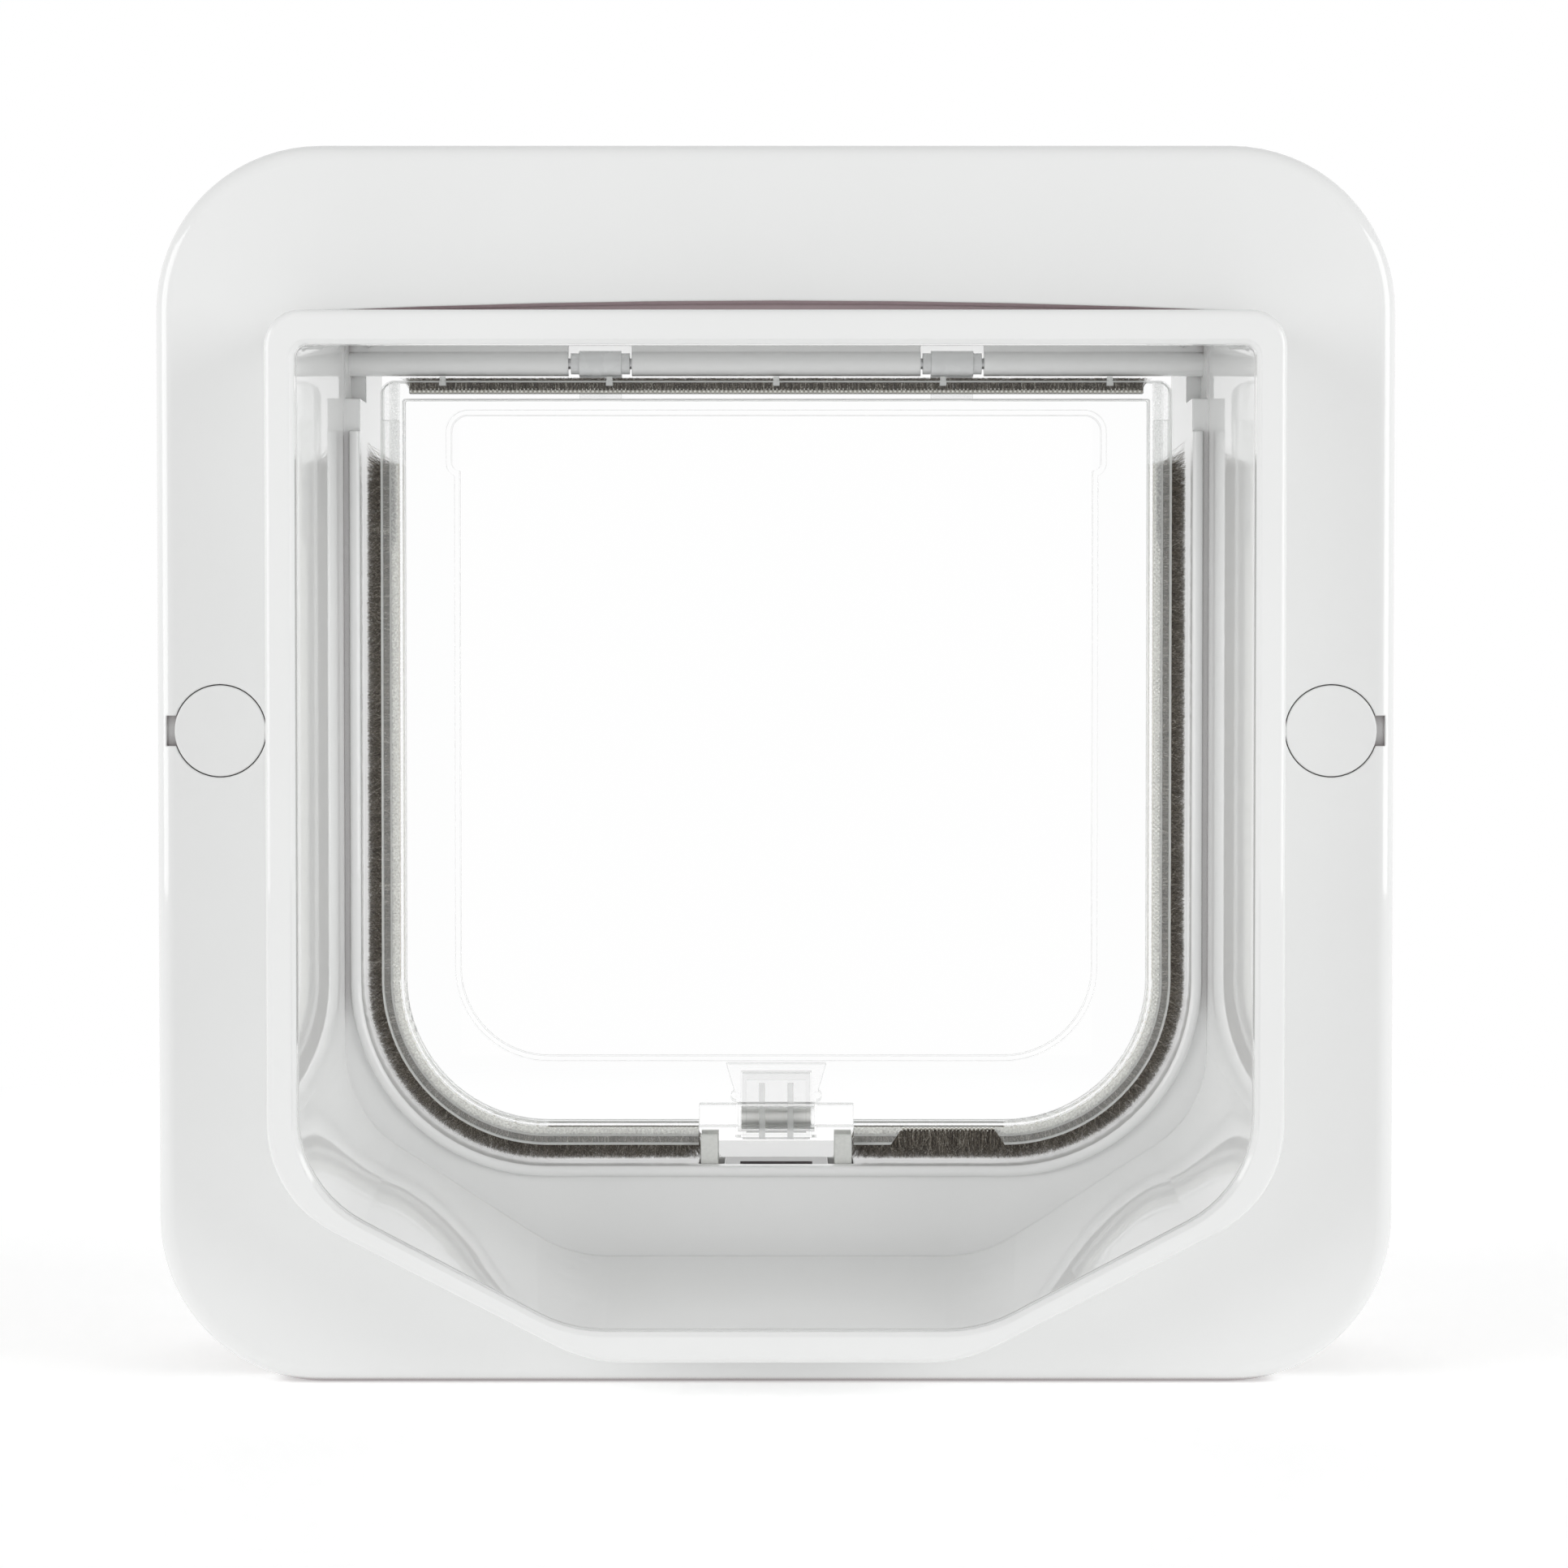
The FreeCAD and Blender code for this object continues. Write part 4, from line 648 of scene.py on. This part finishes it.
def pile_mesh(name, paths, depth, reach, rng):
    """Dense pile: thin bent blades that stand in the groove and point outwards."""
    vertices = []
    faces = []
    for at, length in paths:
        for i in range(int(length * BLADES_PER_METRE)):
            distance = length * rng.random()
            x, z, out_x, out_z = at(distance)
            along_x, along_z = -out_z, out_x
            y = FLAP_Y + rng.uniform(-ROOT_SPREAD, ROOT_SPREAD) * PILE_HALF_DEPTH
            lean = max(-MOST_LEAN, min(MOST_LEAN, rng.gauss(0.0, USUAL_LEAN)))
            tall = (depth - TAPE_HEIGHT) + reach * rng.uniform(SHORTEST_BLADE, 1.0)
            root_x = x - out_x * (depth - TAPE_HEIGHT)
            root_z = z - out_z * (depth - TAPE_HEIGHT)
            roll = rng.uniform(-MOST_ROLL, MOST_ROLL)
            wide_x = along_x * BLADE_HALF_WIDTH * math.cos(roll)
            wide_z = along_z * BLADE_HALF_WIDTH * math.cos(roll)
            wide_y = BLADE_HALF_WIDTH * math.sin(roll)
            bend = lean * rng.uniform(-0.4, 0.7)
            base = len(vertices)
            # Each blade has a root, a bend a little over half-way up, and a narrow tip
            for share, slide, thick in ((0.0, 0.0, 1.0), (0.55, bend, 1.0), (1.0, lean, 0.3)):
                px = root_x + out_x * tall * share + along_x * tall * slide
                pz = root_z + out_z * tall * share + along_z * tall * slide
                vertices.append((px - wide_x * thick, y - wide_y * thick, pz - wide_z * thick))
                vertices.append((px + wide_x * thick, y + wide_y * thick, pz + wide_z * thick))
            faces.append((base, base + 1, base + 3, base + 2))
            faces.append((base + 2, base + 3, base + 5, base + 4))
    return add_piece(name, vertices, faces, FIBRE)


def knot(vertices, faces, x, y, z):
    """One stitch of the tape: a small eight-sided bead."""
    base = len(vertices)
    for dx, dy, dz in ((1, 0, 0), (-1, 0, 0), (0, 0.4, 0), (0, -0.4, 0), (0, 0, 1), (0, 0, -1)):
        vertices.append((x + dx * KNOT_RADIUS, y + dy * KNOT_RADIUS, z + dz * KNOT_RADIUS))
    for a, b in ((0, 2), (2, 1), (1, 3), (3, 0)):
        faces.append((base + a, base + b, base + 4))
        faces.append((base + b, base + a, base + 5))


def cheek_height(distance, x, cheek_start):
    """How high the tape's cheeks stand: low at the start of a strip and behind the gap in the lip."""
    if distance < cheek_start or abs(x - LIP_NOTCH_X) < LIP_NOTCH_HALF:
        return TAPE_HEIGHT
    return TAPE_CHEEK


def tape_mesh(name, paths, depth, cheek_start, rng):
    """The woven tape that holds the pile: a floor, two low cheeks and a row of stitches on each."""
    vertices = []
    faces = []
    half = TAPE_HALF_WIDTH
    for at, length in paths:
        steps = int(length / TAPE_STEP)
        first = len(vertices)
        for i in range(steps + 1):
            # The last row stays just short of the strip's end
            distance = min(length * i / steps, length * 0.9999)
            x, z, out_x, out_z = at(distance)
            tall = cheek_height(distance, x, cheek_start)
            for inset, y in ((depth - tall, -half), (depth, -half), (depth, half), (depth - tall, half)):
                vertices.append((x - out_x * inset, FLAP_Y + y, z - out_z * inset))
        for i in range(steps):
            row = first + 4 * i
            for j in range(3):
                faces.append((row + j, row + j + 1, row + j + 5, row + j + 4))
        for i in range(int(length / KNOT_PITCH)):
            distance = (i + 0.5) * KNOT_PITCH
            x, z, out_x, out_z = at(distance)
            inset = depth - cheek_height(distance, x, cheek_start) - rng.uniform(*KNOT_RISE)
            for y in (-half, half):
                knot(vertices, faces, x - out_x * inset, FLAP_Y + y, z - out_z * inset)
    return add_piece(name, vertices, faces, TAPE)


def make_pile():
    """Both pile seals on their tapes, which stand for the plain strips."""
    rng = random.Random(7)
    edges = [edge_path(-1), edge_path(1)]
    edge = pile_mesh("edge_pile", edges, GROOVE_DEPTH, PILE_REACH, rng)
    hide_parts("edge_seal")
    tape_mesh("edge_tape", edges, GROOVE_DEPTH, CHEEK_START, rng)
    top = pile_mesh("top_pile", [top_path()], TOP_GROOVE_DEPTH, TOP_PILE_TIP - FLAP_TOP, rng)
    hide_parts("top_seal")
    tape_mesh("top_tape", [top_path()], TOP_GROOVE_DEPTH, PAST_THE_PART, rng)


def is_seen(tree):
    """1 for a ray from the camera, or one that gloss or clear plastic sends on."""
    path = tree.nodes.new("ShaderNodeLightPath")
    shiny = work_out(tree, "MAXIMUM", path.outputs["Is Glossy Ray"], path.outputs["Is Transmission Ray"])
    return work_out(tree, "MAXIMUM", path.outputs["Is Camera Ray"], shiny)


def make_world():
    """Plain white surroundings: full white where they are seen, softer as light."""
    world = bpy.data.worlds.new("studio")
    bpy.context.scene.world = world
    world.use_nodes = True
    tree = world.node_tree
    background = tree.nodes["Background"]
    background.inputs["Color"].default_value = (1, 1, 1, 1)
    tree.links.new(spread(tree, is_seen(tree), *WORLD_STRENGTH), background.inputs["Strength"])


def make_floor():
    """A pale floor that keeps the shadow near the part and is plain white further off."""
    mesh = bpy.data.meshes.new("floor")
    corners = [(x * FLOOR_HALF, y * FLOOR_HALF, 0) for x, y in ((-1, -1), (1, -1), (1, 1), (-1, 1))]
    mesh.from_pydata(corners, [], [(0, 1, 2, 3)])
    floor = bpy.data.objects.new("floor", mesh)
    floor.location.z = FRAME_FOOT
    bpy.context.collection.objects.link(floor)
    material, tree, shader = new_material("floor_paper")
    grain = noise(tree, 300.0, 2.0)
    colour = ramp(tree, grain.outputs["Fac"], (0.80, 0.80, 0.80), (0.83, 0.83, 0.83))
    tree.links.new(colour.outputs["Color"], shader.inputs["Base Color"])
    shader.inputs["Roughness"].default_value = 0.9
    shader.inputs["Specular IOR Level"].default_value = 0.0
    shader.inputs["Emission Color"].default_value = (1, 1, 1, 1)
    seen = is_seen(tree)
    tree.links.new(spread(tree, seen, *NEAR_FLOOR_STRENGTH), shader.inputs["Emission Strength"])
    white = simple_shader(tree, "ShaderNodeEmission", (1, 1, 1))
    tree.links.new(spread(tree, seen, *FAR_FLOOR_STRENGTH), white.inputs["Strength"])
    place = tree.nodes.new("ShaderNodeTexCoord")
    away = tree.nodes.new("ShaderNodeVectorMath")
    away.operation = "LENGTH"
    tree.links.new(place.outputs["Object"], away.inputs[0])
    near = within(tree, away.outputs["Value"], -NEAR_FLOOR_REACH, NEAR_FLOOR_REACH, NEAR_FLOOR_FADE)
    surface = mixed_shader(tree, near, white.outputs["Emission"], shader.outputs["BSDF"])
    tree.links.new(surface, tree.nodes["Material Output"].inputs["Surface"])
    mesh.materials.append(material)


def area_light(name, place, size, power):
    """A square soft light aimed at the middle of the part."""
    data = bpy.data.lights.new(name, "AREA")
    data.size = size
    data.energy = power
    light = bpy.data.objects.new(name, data)
    light.location = place
    x, y, z = place
    light.rotation_euler = (math.atan2(math.hypot(x, y), z), 0, math.pi + math.atan2(-x, y))
    bpy.context.collection.objects.link(light)
    return light


def make_lights():
    """Large soft lamps above and to both sides, and one indoors that shines through the flap."""
    lamps = {name: area_light(name, place, size, power) for name, place, size, power in LAMPS}
    indoors = lamps["indoors"]
    indoors.visible_camera = False
    indoors.visible_glossy = False
    indoors.visible_transmission = False


def make_camera():
    """The camera, straight in front and a little above the middle."""
    data = bpy.data.cameras.new("camera")
    data.sensor_width = CAMERA_SENSOR
    data.lens = CAMERA_LENS
    data.clip_start = CAMERA_CLIP
    camera = bpy.data.objects.new("camera", data)
    camera.location = CAMERA_PLACE
    camera.rotation_euler = (math.pi / 2 - CAMERA_DIP, 0, 0)
    bpy.context.collection.objects.link(camera)
    bpy.context.scene.camera = camera


make_camera()
make_world()
make_floor()
make_lights()
dress_nodes()
make_pile()

bpy.context.scene.view_settings.view_transform = "Standard"
